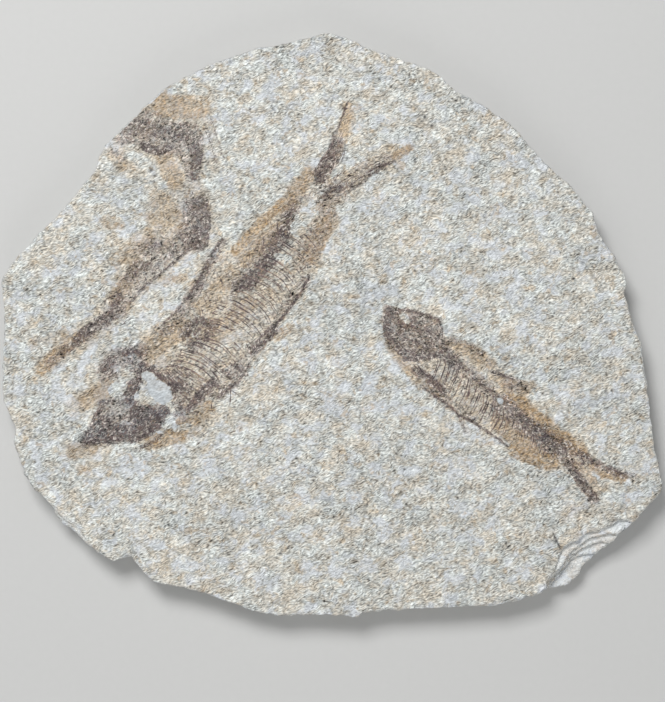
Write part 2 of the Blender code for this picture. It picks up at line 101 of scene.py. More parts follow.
# Fine cracks and scratches in the face: (depth, width, points).
GROOVES = (
    (0.1, 0.3, ((70.3, 20.8), (73.3, 17.3), (76.0, 13.8), (78.4, 10.7))),
    (0.12, 0.3, ((72.2, 23.1), (71.3, 21.6))),
    (0.3, 0.34, ((-65.0, 19.6), (-64.4, 17.5), (-62.7, 16.7), (-60.9, 17.0), (-59.5, 18.4), (-59.5, 20.4))),
    # This groove follows the raised flake's lower edge, and its darkening adds to the painted shadow there.
    (0.34, 0.36, ((63.9, -60.8), (64.6, -62.8), (66.2, -65.4), (68.3, -65.1), (70.7, -64.2))),
    (0.3, 0.34, ((73.1, -60.6), (76.0, -60.2), (77.4, -59.6), (79.1, -59.0), (80.3, -58.1), (81.3, -56.7),
     (82.0, -56.5), (82.8, -57.3))),
    (0.26, 0.34, ((61.7, -74.0), (63.9, -72.5), (65.4, -70.1), (67.5, -68.0), (69.5, -66.3))),
    (0.18, 0.3, ((82.2, -54.0), (85.1, -53.5), (86.8, -54.5), (88.0, -55.5))),
    (0.16, 0.34, ((69.0, -53.5), (71.3, -54.4), (74.2, -54.8))),
    (0.16, 0.34, ((-77.9, -26.4), (-74.3, -23.3), (-70.5, -20.7), (-66.4, -18.1))),
    (0.18, 0.34, ((-21.8, -81.9), (-18.9, -81.1), (-15.7, -80.5), (-13.7, -81.3))),
    (0.16, 0.34, ((-52.2, -72.4), (-50.2, -72.1), (-48.2, -73.2))),
    (0.14, 0.34, ((-58.9, -67.1), (-56.9, -66.3), (-54.8, -66.0))),
)

# Small dark dots in the face: (radius, point).
DOTS = (
    (0.55, (-52.2, 44.5)), (0.4, (-51.4, 41.0)), (0.5, (-61.5, 17.8)), (0.4, (-33.2, 73.3)),
    (0.35, (-23.5, 62.2)), (0.3, (-17.1, 52.1)), (0.35, (4.6, 15.2)), (0.3, (-1.8, 8.0)),
    (0.45, (27.2, 59.9)), (0.5, (29.3, 57.3)), (0.35, (30.7, 56.1)), (0.35, (26.1, 58.7)),
    (0.4, (67.3, 33.8)), (0.35, (80.9, -19.6)), (0.3, (-7.6, -41.3)), (0.35, (21.1, -42.2)),
    (0.3, (10.4, -52.3)), (0.3, (40.3, -55.2)), (0.3, (-38.9, -52.3)), (0.35, (-80.9, 9.4)),
    (0.3, (-74.3, 21.6)), (0.35, (-14.5, -66.3)), (0.3, (54.8, 7.1)), (0.3, (14.2, 70.9)),
)

# What colours the fossils, by pigment: (strength, width, softness, points). A list that ends where it starts
# is an area, and the others are lines. Two strokes by the raised flake are painted light, not pigment: a pale
# line along its upper-left edge is a painted highlight, and a dark line along its lower edge a painted
# shadow.
STAINS_AND_PAINTED_LIGHT = {
    "tan": (
        (0.5, 1.2, 0.8, ((37.4, -27.7), (39.1, -31.2))),
        (0.8, 0, 0.9, ((-54.8, -3.0), (-48.2, 0.7), (-43.2, 5.4), (-38.0, 16.4), (-27.6, 21.6),
         (-14.8, 34.7), (-7.6, 41.9), (-3.8, 45.4), (1.1, 40.2), (1.4, 34.4), (-1.5, 24.5), (-4.4, 14.1),
         (-9.6, 7.1), (-14.8, -0.4), (-22.1, -10.9), (-27.9, -18.4), (-34.0, -22.5), (-40.9, -24.8),
         (-47.3, -21.3), (-52.5, -13.8), (-54.8, -8.0), (-54.8, -3.0))),
        (0.65, 4.5, 2.0, ((-53.1, -8.0), (-47.3, -3.9), (-42.1, -0.4))),
        (0.6, 3.5, 2.0, ((-49.6, -34.9), (-42.4, -31.8), (-34.5, -27.1))),
        (0.55, 4.0, 2.0, ((-74.3, -24.5), (-68.5, -20.7), (-63.5, -17.3))),
        (0.45, 3.5, 2.0, ((-75.1, -36.4), (-69.9, -37.0), (-65.9, -35.5))),
        (0.35, 3.0, 2.0, ((-36.3, 18.1), (-31.6, 7.1), (-28.7, 1.9))),
        (0.62, 0, 0.5, ((64.9, -61.0), (70.7, -57.9), (71.9, -61.0), (69.6, -64.2), (66.1, -64.8),
         (64.9, -61.0))),
        (0.35, 4.0, 2.0, ((68.7, -54.4), (75.1, -52.9), (79.1, -54.4))),
        (0.62, 1.4, 0.8, ((-53.7, -23.1), (-50.8, -23.6), (-48.5, -23.9))),
        (0.82, 0, 0.6, ((15.3, 5.4), (18.8, 4.2), (24.0, 3.6), (30.7, 1.3), (32.5, -3.0), (34.2, -5.1),
         (38.3, -6.2), (43.2, -8.3), (47.2, -11.2), (50.4, -15.2), (54.2, -16.7), (58.8, -17.3),
         (56.5, -21.0), (58.6, -25.1), (64.1, -28.6), (68.1, -32.6), (72.2, -36.4), (76.8, -39.9),
         (81.5, -42.2), (87.8, -45.1), (80.9, -45.1), (73.9, -42.2), (76.8, -46.3), (77.4, -50.9),
         (74.8, -51.8), (71.3, -47.1), (67.5, -42.8), (64.6, -41.9), (61.2, -40.5), (55.1, -40.2),
         (52.5, -36.4), (46.1, -32.6), (41.2, -29.1), (36.2, -26.0), (32.2, -22.8), (26.1, -18.7),
         (21.7, -14.4), (18.8, -9.7), (15.3, -3.9), (14.8, 1.3), (15.3, 5.4))),
        (0.62, 0, 2.0, ((-63.0, 52.9), (-58.9, 59.3), (-53.7, 63.9), (-49.6, 65.7), (-40.3, 65.7),
         (-37.1, 62.2), (-37.4, 55.0), (-37.4, 47.7), (-38.0, 40.7), (-35.7, 36.1), (-35.1, 29.7),
         (-36.0, 22.2), (-40.9, 20.4), (-46.7, 15.8), (-53.7, 10.0), (-57.7, 5.4), (-60.1, 1.9),
         (-64.7, -2.8), (-70.5, -6.8), (-76.9, -11.5), (-83.3, -14.4), (-85.6, -13.2), (-79.8, -7.4),
         (-72.8, -1.0), (-65.9, 4.8), (-62.4, 11.7), (-60.1, 18.1), (-55.4, 22.8), (-52.5, 28.0),
         (-51.9, 34.4), (-48.5, 37.3), (-44.4, 39.6), (-48.5, 43.1), (-49.0, 47.7), (-53.1, 48.9),
         (-57.7, 51.2), (-60.6, 48.9), (-63.0, 52.9))),
        (0.45, 3.0, 1.8, ((-63.0, 48.9), (-60.6, 46.0), (-57.7, 44.2))),
        (0.4, 2.6, 1.4, ((-35.7, 57.0), (-33.4, 51.8), (-34.0, 44.8))),
        (0.35, 2.4, 1.4, ((-40.9, 37.3), (-38.0, 39.6))),
        (0.4, 3.0, 1.8, ((-52.5, 38.4), (-49.0, 36.7), (-46.7, 34.4))),
        (0.85, 0, 0.6, ((4.8, 64.8), (3.5, 60.8), (2.1, 57.1), (0.9, 54.1), (-0.9, 49.7), (-2.9, 46.8),
         (-5.2, 43.4), (-2.6, 40.7), (0.6, 44.8), (2.1, 47.1), (4.0, 51.8), (5.8, 55.0), (6.8, 58.7),
         (5.8, 63.7), (4.8, 64.8))),
        (0.85, 0, 0.6, ((-0.3, 41.0), (3.7, 43.6), (7.2, 46.0), (11.9, 48.0), (16.5, 49.4), (22.9, 51.3),
         (23.8, 50.5), (18.8, 47.0), (14.2, 44.8), (9.5, 41.3), (4.9, 38.0), (1.4, 37.3), (-0.3, 41.0))),
    ),
    "ochre": (
        (0.9, 2.2, 1.2, ((-27.6, 21.0), (-21.2, 28.0), (-14.8, 34.4))),
        (0.8, 3.2, 1.4, ((-14.2, 33.8), (-9.9, 38.4), (-6.7, 43.1))),
        (0.62, 3.4, 1.8, ((-24.7, 18.1), (-20.0, 22.8), (-13.1, 28.6))),
        (0.55, 4.6, 2.0, ((-51.9, -7.4), (-47.3, -3.9), (-42.7, -1.6))),
        (0.45, 4.0, 2.0, ((-36.6, 4.2), (-32.8, 9.4), (-28.7, 14.1))),
        (0.5, 3.0, 2.0, ((-35.1, -4.5), (-29.3, 0.7), (-23.5, 5.4))),
        (0.7, 4.5, 1.6, ((-6.7, 19.3), (-3.8, 24.5), (-0.3, 29.7))),
        (0.78, 3.2, 1.4, ((-43.2, -29.4), (-39.2, -27.7), (-35.1, -24.2))),
        (0.85, 3.4, 1.2, ((-51.9, -34.7), (-47.9, -33.5), (-43.5, -31.8))),
        (0.75, 2.2, 1.0, ((-15.4, -3.9), (-12.2, -1.3))),
        (0.62, 4.0, 1.6, ((-70.5, -22.5), (-67.0, -20.2), (-64.1, -18.4))),
        (0.6, 3.2, 1.8, ((-74.0, -37.0), (-69.3, -35.8))),
        (0.6, 1.6, 1.2, ((-71.9, -42.2), (-70.5, -42.8))),
        (0.62, 1.8, 1.0, ((16.5, -5.7), (19.4, -10.3), (23.2, -14.9), (25.8, -18.4))),
        (0.55, 1.6, 1.0, ((19.7, 1.9), (21.1, -1.0), (23.2, -1.6))),
        (0.55, 3.0, 1.4, ((35.1, -6.2), (40.3, -8.0), (45.5, -11.2))),
        (0.62, 2.6, 1.2, ((28.7, -17.3), (31.6, -20.2))),
        (0.5, 0, 1.4, ((46.7, -14.9), (52.5, -17.0), (58.3, -17.8), (55.9, -20.7), (50.7, -20.2),
         (46.7, -14.9))),
        (0.95, 3.0, 0.9, ((51.3, -21.9), (54.8, -23.1), (58.3, -26.5), (62.3, -29.7), (65.2, -32.3))),
        (0.9, 3.4, 1.0, ((67.0, -32.9), (69.3, -35.2), (72.2, -37.3))),
        (0.95, 4.6, 1.0, ((53.9, -37.0), (57.7, -38.1), (62.9, -39.9))),
        (0.72, 4.0, 1.6, ((48.4, -28.9), (52.5, -32.3), (56.5, -35.2))),
        (0.8, 2.2, 0.9, ((75.1, -41.6), (79.1, -43.4), (83.8, -44.8))),
        (0.62, 1.6, 0.8, ((70.4, -41.0), (73.3, -43.4), (75.7, -45.7))),
        (0.72, 6.0, 1.6, ((-49.0, 63.4), (-44.4, 62.8), (-38.6, 62.8))),
        (0.62, 4.2, 1.6, ((-48.2, 47.7), (-46.7, 44.2), (-45.3, 41.3))),
        (0.52, 4.0, 1.8, ((-50.2, 36.1), (-46.7, 32.6), (-44.4, 28.6))),
        (0.5, 4.0, 2.0, ((-61.2, 18.1), (-57.7, 21.6), (-53.7, 25.1))),
        (0.55, 3.0, 1.6, ((-62.4, 7.1), (-60.1, 11.2), (-56.0, 17.0))),
        (0.8, 3.0, 1.2, ((-73.4, -4.5), (-78.0, -8.3), (-83.3, -13.2))),
        (0.5, 2.0, 1.4, ((-76.9, -3.3), (-81.5, -4.8), (-86.2, -6.2))),
        (0.75, 1.6, 1.2, ((-45.0, 12.6), (-42.7, 13.2))),
        (0.45, 1.8, 1.4, ((-48.7, 12.3), (-46.7, 12.3))),
        (0.45, 2.4, 1.6, ((-63.5, 48.3), (-60.1, 46.0), (-58.3, 44.8))),
        (0.55, 2.6, 1.4, ((-65.3, 29.7), (-63.0, 28.6), (-61.2, 28.6))),
        (0.5, 2.2, 1.4, ((-52.5, 30.9), (-49.0, 29.1))),
        (0.55, 2.2, 1.0, ((5.0, 62.8), (4.6, 59.3), (3.5, 55.2))),
        (0.7, 1.6, 0.9, ((18.2, 48.3), (21.1, 50.0), (22.9, 50.9))),
        (0.4, 3.0, 1.4, ((-3.8, 34.9), (-0.9, 35.8), (2.6, 37.0))),
    ),
    "brown": (
        (0.62, 3.0, 1.2, ((-0.6, 48.3), (-2.3, 44.2), (-3.2, 41.3))),
        (0.5, 2.4, 1.2, ((-2.1, 42.5), (-1.8, 39.9), (-2.6, 37.3))),
        (0.76, 0, 0.6, ((-66.6, -23.3), (-65.0, -22.2), (-62.7, -22.2), (-60.9, -22.8), (-59.2, -21.9),
         (-56.9, -23.1), (-55.4, -23.9), (-51.6, -23.3), (-48.9, -23.9), (-47.3, -24.5), (-47.9, -26.5),
         (-48.5, -28.6), (-50.2, -30.9), (-52.8, -31.8), (-56.3, -34.1), (-58.6, -34.1), (-64.4, -34.4),
         (-66.4, -34.4), (-71.1, -34.8), (-71.4, -33.8), (-70.4, -30.3), (-68.2, -28.0), (-67.3, -26.0),
         (-66.6, -23.3))),
        (0.85, 4.4, 1.0, ((-65.0, -13.8), (-63.5, -10.9), (-60.9, -9.1))),
        (0.8, 3.6, 1.0, ((-65.9, -15.5), (-64.1, -12.0))),
        (0.85, 3.6, 1.2, ((-60.1, -10.3), (-57.2, -8.3), (-54.8, -8.0))),
        (0.6, 3.0, 1.2, ((-58.9, -19.0), (-56.0, -21.3))),
        (0.6, 3.4, 1.4, ((-52.5, -13.8), (-47.3, -16.1), (-42.7, -19.6))),
        (0.2, 5.0, 2.4, ((-44.4, -12.0), (-36.3, -13.8), (-27.6, -15.5))),
        (0.6, 3.0, 1.6, ((-47.9, -1.6), (-42.7, 3.6), (-39.2, 10.0))),
        (0.42, 4.6, 2.6, ((-19.5, 20.4), (-14.8, 25.1), (-10.8, 31.5))),
        (0.4, 4.6, 2.6, ((-25.3, 11.2), (-21.8, 15.2), (-18.3, 19.3))),
        (0.26, 5.0, 2.2, ((-13.1, 34.9), (-9.0, 39.0), (-5.0, 43.1))),
        (0.36, 5.0, 2.4, ((-8.4, 18.1), (-5.0, 24.5), (-1.5, 32.0))),
        (0.7, 1.9, 0.9, ((-41.2, 7.1), (-37.7, 11.7), (-34.2, 18.7), (-31.6, 23.3))),
        (0.4, 4.0, 1.8, ((-32.8, -19.6), (-28.7, -16.1), (-25.3, -12.0))),
        (0.62, 2.6, 1.2, ((-22.4, -8.0), (-19.7, -5.1), (-16.6, -1.9))),
        (0.5, 2.2, 1.6, ((-15.4, 1.9), (-11.3, 6.5), (-7.3, 12.3))),
        (0.6, 3.0, 1.4, ((-43.8, -27.1), (-42.7, -24.2), (-40.9, -22.5))),
        (0.45, 1.6, 1.2, ((-36.3, 18.7), (-34.5, 19.9))),
        (1.0, 0, 0.4, ((-42.1, -25.1), (-40.0, -21.9), (-37.4, -18.7), (-34.5, -15.8), (-33.1, -16.4),
         (-34.5, -19.3), (-37.1, -22.5), (-39.8, -24.8), (-42.1, -25.1))),
        (0.6, 0, 1.2, ((-60.1, -10.0), (-57.2, -8.3), (-54.5, -8.6), (-53.7, -12.0), (-54.3, -15.5),
         (-56.0, -19.0), (-56.6, -21.9), (-58.9, -21.9), (-58.3, -18.4), (-57.2, -16.1), (-57.7, -13.2),
         (-60.1, -12.6), (-60.1, -10.0))),
        (0.55, 2.0, 1.0, ((-64.7, -14.4), (-62.4, -15.5), (-60.9, -14.4))),
        (0.32, 0, 1.2, ((-49.6, -13.8), (-45.0, -13.8), (-39.2, -16.1), (-36.3, -17.8), (-38.6, -20.2),
         (-42.7, -19.6), (-46.1, -17.8), (-49.6, -13.8))),
        (0.8, 0, 0.7, ((15.6, 5.4), (18.8, 4.2), (24.0, 3.6), (30.7, 1.3), (32.2, -1.6), (32.5, -3.9),
         (33.9, -5.9), (33.0, -8.0), (29.0, -9.7), (24.0, -10.6), (20.9, -10.3), (17.7, -6.5), (15.3, -2.5),
         (15.1, 1.9), (15.6, 5.4))),
        (0.46, 3.6, 1.2, ((31.6, -8.0), (36.2, -11.5), (40.9, -15.5), (45.2, -19.3))),
        (0.26, 5.4, 1.6, ((35.1, -13.2), (40.3, -18.4), (46.1, -24.2))),
        (0.74, 5.0, 1.4, ((49.0, -23.1), (54.8, -28.9), (61.7, -33.5), (67.0, -37.8))),
        (0.45, 2.2, 1.2, ((28.1, -19.0), (33.3, -22.8), (39.7, -27.1))),
        (0.85, 1.9, 0.8, ((24.0, -13.5), (26.9, -15.5), (29.8, -17.5), (32.2, -19.3))),
        (0.7, 2.2, 0.8, ((68.1, -35.2), (72.2, -38.1), (76.2, -40.2))),
        (0.72, 1.9, 0.7, ((72.2, -38.4), (78.0, -41.3), (83.2, -43.4), (86.7, -44.5))),
        (0.85, 0, 0.7, ((66.4, -39.0), (68.7, -39.3), (71.3, -42.8), (73.9, -46.3), (76.8, -50.3),
         (76.8, -51.5), (74.5, -51.8), (71.6, -47.4), (68.7, -43.4), (66.4, -39.0))),
        (0.4, 0.8, 0.6, ((45.8, -13.8), (50.1, -15.2), (54.2, -16.7))),
        (0.4, 2.0, 1.4, ((50.7, -17.8), (55.9, -19.0))),
        (0.55, 1.2, 0.8, ((34.5, -4.5), (39.1, -6.2), (43.8, -9.1))),
        (0.66, 0, 1.0, ((-63.2, 53.5), (-60.1, 57.0), (-56.6, 61.0), (-53.7, 62.8), (-49.6, 60.5),
         (-46.1, 58.1), (-39.2, 58.1), (-37.7, 54.7), (-37.7, 50.0), (-38.0, 45.4), (-38.6, 41.9),
         (-40.9, 41.9), (-42.7, 44.8), (-43.8, 48.3), (-46.1, 49.7), (-49.6, 48.6), (-53.1, 50.0),
         (-56.6, 52.1), (-60.6, 52.1), (-63.2, 53.5))),
        (0.78, 0, 0.8, ((-41.8, 36.7), (-38.6, 36.1), (-36.0, 35.2), (-35.4, 32.0), (-35.4, 26.8),
         (-36.0, 22.8), (-38.0, 21.0), (-41.5, 21.0), (-44.4, 22.2), (-44.4, 25.7), (-42.7, 30.3),
         (-42.7, 33.8), (-41.8, 36.7))),
        (0.5, 5.6, 1.8, ((-43.2, 22.8), (-49.0, 19.9), (-54.3, 15.8), (-58.3, 10.6), (-60.6, 5.9))),
        (0.45, 4.0, 1.8, ((-50.2, 24.5), (-54.8, 21.0))),
        (0.8, 3.0, 1.2, ((-60.6, 5.9), (-63.0, 2.5), (-67.0, -0.4), (-71.7, -3.9))),
        (0.4, 2.0, 1.2, ((-72.2, -4.5), (-77.5, -8.6), (-81.5, -12.0))),
        (0.5, 2.0, 1.2, ((-63.2, 50.0), (-60.6, 48.3))),
        (0.45, 1.0, 0.8, ((-61.8, 3.6), (-58.3, 1.3))),
        (0.35, 0.8, 0.6, ((-61.8, 1.9), (-58.9, -1.6))),
        (0.58, 0, 0.8, ((0.8, 54.1), (-0.9, 49.7), (-2.9, 46.8), (-5.2, 43.4), (-2.6, 40.7), (0.6, 44.8),
         (2.1, 47.1), (3.5, 50.6), (3.2, 53.5), (0.8, 54.1))),
        (0.14, 0, 0.9, ((0.3, 40.7), (5.5, 43.6), (11.3, 46.8), (16.5, 48.6), (15.9, 46.0), (11.9, 43.4),
         (7.8, 40.5), (4.3, 38.1), (1.4, 37.3), (0.3, 40.7))),
        (0.45, 3.6, 1.4, ((-3.2, 34.1), (0.3, 35.5), (2.9, 36.7))),
    ),
    "dark": (
        (0.62, 0, 0.4, ((-41.5, -24.5), (-39.5, -21.6), (-36.9, -18.6), (-34.2, -16.2), (-33.7, -16.7),
         (-35.4, -19.3), (-38.0, -22.2), (-40.3, -24.5), (-41.5, -24.5))),
        # Painted shadow: a dark line along the left and lower edges of the raised flake, where it shades the
        # face.
        (0.55, 0.35, 0.25, ((64.2, -61.3), (66.1, -65.1), (69.6, -64.8), (71.3, -62.8))),
        (0.42, 0.3, 0.25, ((73.1, -60.6), (76.0, -60.2), (78.0, -59.4), (80.3, -58.1), (81.3, -56.7))),
        (0.8, 0, 1.2, ((-56.9, -23.9), (-53.7, -24.5), (-49.0, -24.5), (-47.9, -26.5), (-48.7, -28.9),
         (-50.8, -30.9), (-53.7, -31.8), (-56.6, -30.0), (-58.0, -27.1), (-56.9, -23.9))),
        (0.7, 3.0, 1.4, ((-64.7, -30.6), (-61.2, -31.8), (-57.2, -31.2))),
        (0.85, 1.4, 0.7, ((-56.6, -33.8), (-53.1, -32.3), (-49.6, -29.7))),
        (0.75, 0.8, 0.5, ((-65.3, -34.1), (-61.8, -34.4), (-57.7, -34.1))),
        (0.66, 3.6, 1.2, ((-70.5, -33.8), (-68.2, -32.3), (-65.9, -32.9))),
        (0.75, 1.4, 0.7, ((-66.4, -23.1), (-63.0, -22.2), (-58.3, -22.5))),
        (0.75, 1.4, 0.7, ((-68.2, -28.9), (-67.0, -25.4), (-65.9, -23.1))),
        (0.7, 2.4, 0.9, ((-69.9, -33.5), (-67.0, -33.8), (-63.5, -34.1))),
        (0.6, 2.4, 1.0, ((-65.9, -28.3), (-61.8, -30.0), (-58.9, -31.8))),
        (0.85, 1.2, 0.6, ((-59.8, -9.1), (-57.2, -8.0), (-54.8, -8.6))),
        (0.6, 2.2, 1.0, ((-65.3, -13.2), (-63.5, -10.9))),
        (0.85, 1.8, 0.7, ((-54.5, -12.6), (-54.8, -16.1), (-56.0, -18.4), (-57.4, -21.3))),
        (0.8, 1.4, 0.7, ((-54.0, -13.8), (-51.9, -13.2), (-49.0, -16.1), (-46.7, -17.8), (-45.6, -20.7))),
        (0.6, 2.2, 1.0, ((-51.9, -14.4), (-47.9, -16.7), (-43.2, -19.0))),
        (0.6, 2.2, 1.2, ((-58.9, -20.2), (-57.2, -23.1), (-55.4, -24.8))),
        (0.8, 1.3, 0.9, ((-40.3, -0.4), (-38.0, 1.0), (-35.7, 0.4), (-33.4, -1.0))),
        (0.72, 1.2, 0.9, ((-41.8, -3.3), (-40.9, -1.6), (-39.8, -0.7))),
        (0.66, 1.3, 0.9, ((-40.9, -6.2), (-39.8, -7.7), (-38.0, -6.5))),
        (0.6, 1.2, 0.9, ((-38.6, -3.6), (-36.3, -4.5), (-35.1, -2.8))),
        (0.42, 4.4, 2.2, ((-40.9, -2.8), (-36.3, -2.2))),
        (0.66, 2.6, 1.6, ((-27.0, 10.6), (-23.5, 12.3), (-20.0, 15.2), (-17.7, 18.1))),
        (0.6, 2.2, 1.4, ((-21.2, 15.8), (-18.3, 18.1), (-16.6, 20.4))),
        (0.5, 2.6, 1.6, ((-18.3, 21.0), (-14.8, 23.9), (-12.5, 28.0))),
        (0.62, 2.4, 1.6, ((-14.8, 25.1), (-12.5, 28.6), (-11.3, 31.5))),
        (0.28, 1.6, 1.2, ((-10.2, 34.4), (-5.5, 36.7), (-0.9, 38.4))),
        (0.9, 0.6, 0.4, ((-41.5, 7.1), (-38.3, 12.6), (-34.8, 19.6), (-31.6, 23.9))),
        (0.34, 1.4, 0.8, ((-40.6, 7.7), (-37.1, 13.5), (-33.7, 19.3))),
        (0.55, 0.6, 0.4, ((-48.2, -0.1), (-43.8, 4.5), (-41.5, 7.1))),
        (0.66, 1.0, 0.7, ((-32.5, -21.3), (-30.5, -19.6), (-28.2, -17.8))),
        (0.6, 0.9, 0.7, ((-34.0, -17.3), (-31.6, -19.0), (-29.6, -20.2))),
        (0.6, 0.9, 0.7, ((-31.1, -13.8), (-28.4, -16.1), (-27.0, -17.8))),
        (0.55, 0.9, 0.7, ((-28.7, -11.5), (-26.1, -13.5), (-24.7, -14.9))),
        (0.7, 0.9, 0.6, ((-21.8, -8.0), (-19.5, -5.7), (-16.0, -1.6))),
        (0.7, 0.8, 0.6, ((-22.4, -7.4), (-20.0, -3.9), (-17.1, -1.0))),
        (0.45, 2.0, 1.2, ((-21.8, -7.4), (-19.5, -5.1), (-16.6, -2.2))),
        (1.0, 0.55, 0.35, ((-6.4, 12.9), (-9.0, 8.3), (-11.6, 4.5), (-13.9, 1.9), (-16.6, -1.3))),
        (0.85, 0.6, 0.3, ((-31.9, -21.3), (-28.2, -17.8), (-25.5, -15.5), (-23.5, -12.3))),
        (0.55, 1.0, 0.5, ((-47.9, -31.2), (-50.2, -33.5), (-55.4, -36.4), (-56.3, -36.7))),
        (0.5, 3.4, 1.2, ((-56.6, -12.6), (-56.0, -15.5))),
        (0.5, 3.0, 1.0, ((-57.7, -17.8), (-57.4, -20.7))),
        (0.9, 0.5, 0.3, ((-41.8, -25.1), (-39.5, -21.9), (-36.9, -18.7), (-34.2, -16.1))),
        (0.55, 0.6, 0.3, ((-40.6, -25.1), (-38.0, -22.2), (-35.1, -19.3), (-33.1, -16.7))),
        (0.6, 2.0, 0.8, ((-44.7, -22.8), (-43.2, -24.5))),
        (0.8, 1.6, 0.7, ((-48.5, -24.5), (-47.3, -25.4))),
        (0.5, 0.5, 0.3, ((-45.6, -12.0), (-40.9, -11.5), (-36.9, -13.2))),
        (0.55, 0.5, 0.3, ((-45.0, -14.1), (-40.3, -15.2), (-36.0, -16.7))),
        (0.55, 0.5, 0.3, ((-45.0, -15.5), (-41.5, -17.8), (-38.3, -20.2))),
        (0.55, 0.5, 0.3, ((-45.8, -17.8), (-43.5, -19.9), (-41.5, -21.9))),
        (0.5, 0.5, 0.3, ((-44.7, -26.8), (-41.5, -26.2), (-38.3, -25.7))),
        (0.66, 0.8, 0.4, ((-46.1, -27.4), (-45.6, -30.6))),
        (0.45, 4.4, 1.4, ((18.2, -5.1), (22.3, -7.4), (27.5, -8.3))),
        (0.62, 2.2, 0.9, ((16.5, 3.0), (15.9, -1.0), (17.7, -4.5))),
        (0.62, 0.9, 0.5, ((18.8, 3.9), (24.0, 3.3), (28.7, 1.9), (31.6, 0.7))),
        (0.5, 0.8, 0.4, ((31.6, 0.7), (32.2, -2.2), (32.7, -4.5))),
        (0.6, 1.2, 0.6, ((19.1, 3.0), (19.7, 0.4), (20.9, -1.3), (22.9, -1.0))),
        (0.45, 2.4, 1.0, ((24.0, -0.4), (26.9, -2.8), (29.8, -4.5))),
        (0.72, 1.0, 0.5, ((21.1, -10.3), (25.2, -10.6), (29.3, -9.7), (33.3, -8.0))),
        (0.6, 1.6, 0.8, ((30.4, -9.1), (33.9, -10.9), (36.2, -12.6))),
        (0.48, 1.2, 0.6, ((33.3, -8.0), (37.7, -12.3), (41.2, -15.5), (45.2, -19.3), (49.0, -22.2),
         (52.8, -25.4))),
        (0.62, 1.3, 0.6, ((52.8, -25.4), (57.1, -29.4), (61.7, -32.9), (66.1, -36.4))),
        (0.6, 2.8, 1.0, ((53.6, -27.1), (58.3, -30.6), (62.9, -33.8), (66.4, -37.0))),
        (0.66, 1.5, 0.6, ((24.3, -13.5), (27.5, -15.8), (30.4, -17.8))),
        (0.5, 1.0, 0.6, ((30.4, -17.8), (32.7, -20.2), (34.5, -21.9))),
        (0.8, 0.6, 0.35, ((26.1, -18.4), (29.3, -20.7), (32.2, -22.5), (36.2, -26.0), (39.1, -27.7),
         (41.4, -28.9), (46.1, -32.3), (50.7, -35.5))),
        (0.55, 0.9, 0.5, ((71.6, -37.3), (75.1, -39.6), (79.1, -41.3), (83.2, -43.1))),
        (0.55, 1.6, 0.7, ((67.0, -39.6), (69.9, -42.8), (72.8, -46.8), (75.1, -50.3))),
        (0.5, 0.5, 0.4, ((45.8, -13.8), (50.1, -15.2), (54.2, -16.7))),
        (0.85, 0.55, 0.3, ((36.5, -26.2), (37.7, -29.1), (38.8, -31.5))),
        (0.5, 3.2, 1.4, ((-52.5, -26.5), (-50.2, -28.9))),
        (0.35, 0.8, 0.6, ((20.0, -1.6), (18.8, -3.9))),
        (0.5, 3.4, 1.4, ((-58.9, 56.4), (-54.3, 57.0), (-49.0, 55.2), (-44.4, 54.1))),
        (0.45, 2.0, 1.0, ((-58.9, 59.9), (-56.0, 60.5), (-53.1, 58.1))),
        (0.8, 1.9, 0.7, ((-54.3, 51.5), (-50.8, 50.0), (-47.3, 50.9))),
        (0.6, 3.2, 1.0, ((-43.2, 55.8), (-40.3, 52.9), (-38.9, 48.9))),
        (0.6, 2.4, 1.0, ((-39.2, 48.9), (-38.9, 45.4), (-39.8, 42.5))),
        (0.66, 4.4, 1.2, ((-38.0, 34.4), (-37.1, 29.1), (-38.3, 23.3))),
        (0.3, 3.0, 1.4, ((-42.1, 24.5), (-45.0, 21.6))),
        (0.66, 0.8, 0.4, ((-40.9, 21.6), (-46.7, 16.4), (-54.3, 10.3), (-58.0, 5.9))),
        (0.4, 3.0, 1.6, ((-53.7, 21.6), (-50.2, 22.2))),
        (0.45, 3.0, 1.6, ((-58.3, 14.1), (-54.8, 16.4))),
        (0.72, 2.4, 0.9, ((-63.5, 1.9), (-67.6, -0.1), (-71.1, -2.8), (-73.4, -4.8))),
        (0.4, 1.4, 0.8, ((-63.5, 4.8), (-61.2, 7.7))),
        (0.35, 0.9, 0.8, ((-74.0, -5.1), (-78.6, -9.1))),
        (0.5, 0.5, 0.3, ((-36.6, 57.9), (-34.8, 52.9), (-33.4, 46.5))),
        (0.45, 0.5, 0.3, ((-35.1, 59.3), (-33.4, 54.7), (-31.1, 47.7))),
        (0.9, 0.5, 0.25, ((4.8, 64.5), (3.5, 60.8), (2.1, 57.1), (0.8, 54.1), (-0.9, 49.7), (-2.9, 46.8),
         (-5.2, 43.4))),
        (0.66, 2.4, 0.8, ((1.7, 52.6), (0.0, 49.2), (-2.1, 45.4), (-3.5, 41.9))),
        (0.95, 0.6, 0.25, ((4.9, 38.1), (9.5, 41.5), (14.2, 44.9), (18.5, 47.1))),
        (0.8, 0.4, 0.25, ((4.0, 39.0), (9.0, 42.5), (15.3, 46.8))),
        (0.2, 2.4, 0.8, ((3.7, 40.5), (8.4, 43.4), (13.6, 46.3))),
        (0.9, 2.0, 0.7, ((-2.1, 37.8), (0.0, 38.7), (2.3, 39.0))),
        (0.4, 0.5, 0.4, ((-7.6, 33.5), (-3.8, 35.2), (0.8, 37.0))),
    ),
    "pale": (
        # Painted highlight: a pale line along the upper-left edge of the raised flake, where light catches
        # it.
        (0.8, 0.45, 0.3, ((64.6, -61.2), (67.8, -59.6), (71.3, -57.1))),
        (1.0, 0, 0.5, ((-51.4, -16.8), (-49.8, -16.5), (-48.2, -17.3), (-46.9, -18.4), (-45.9, -19.9),
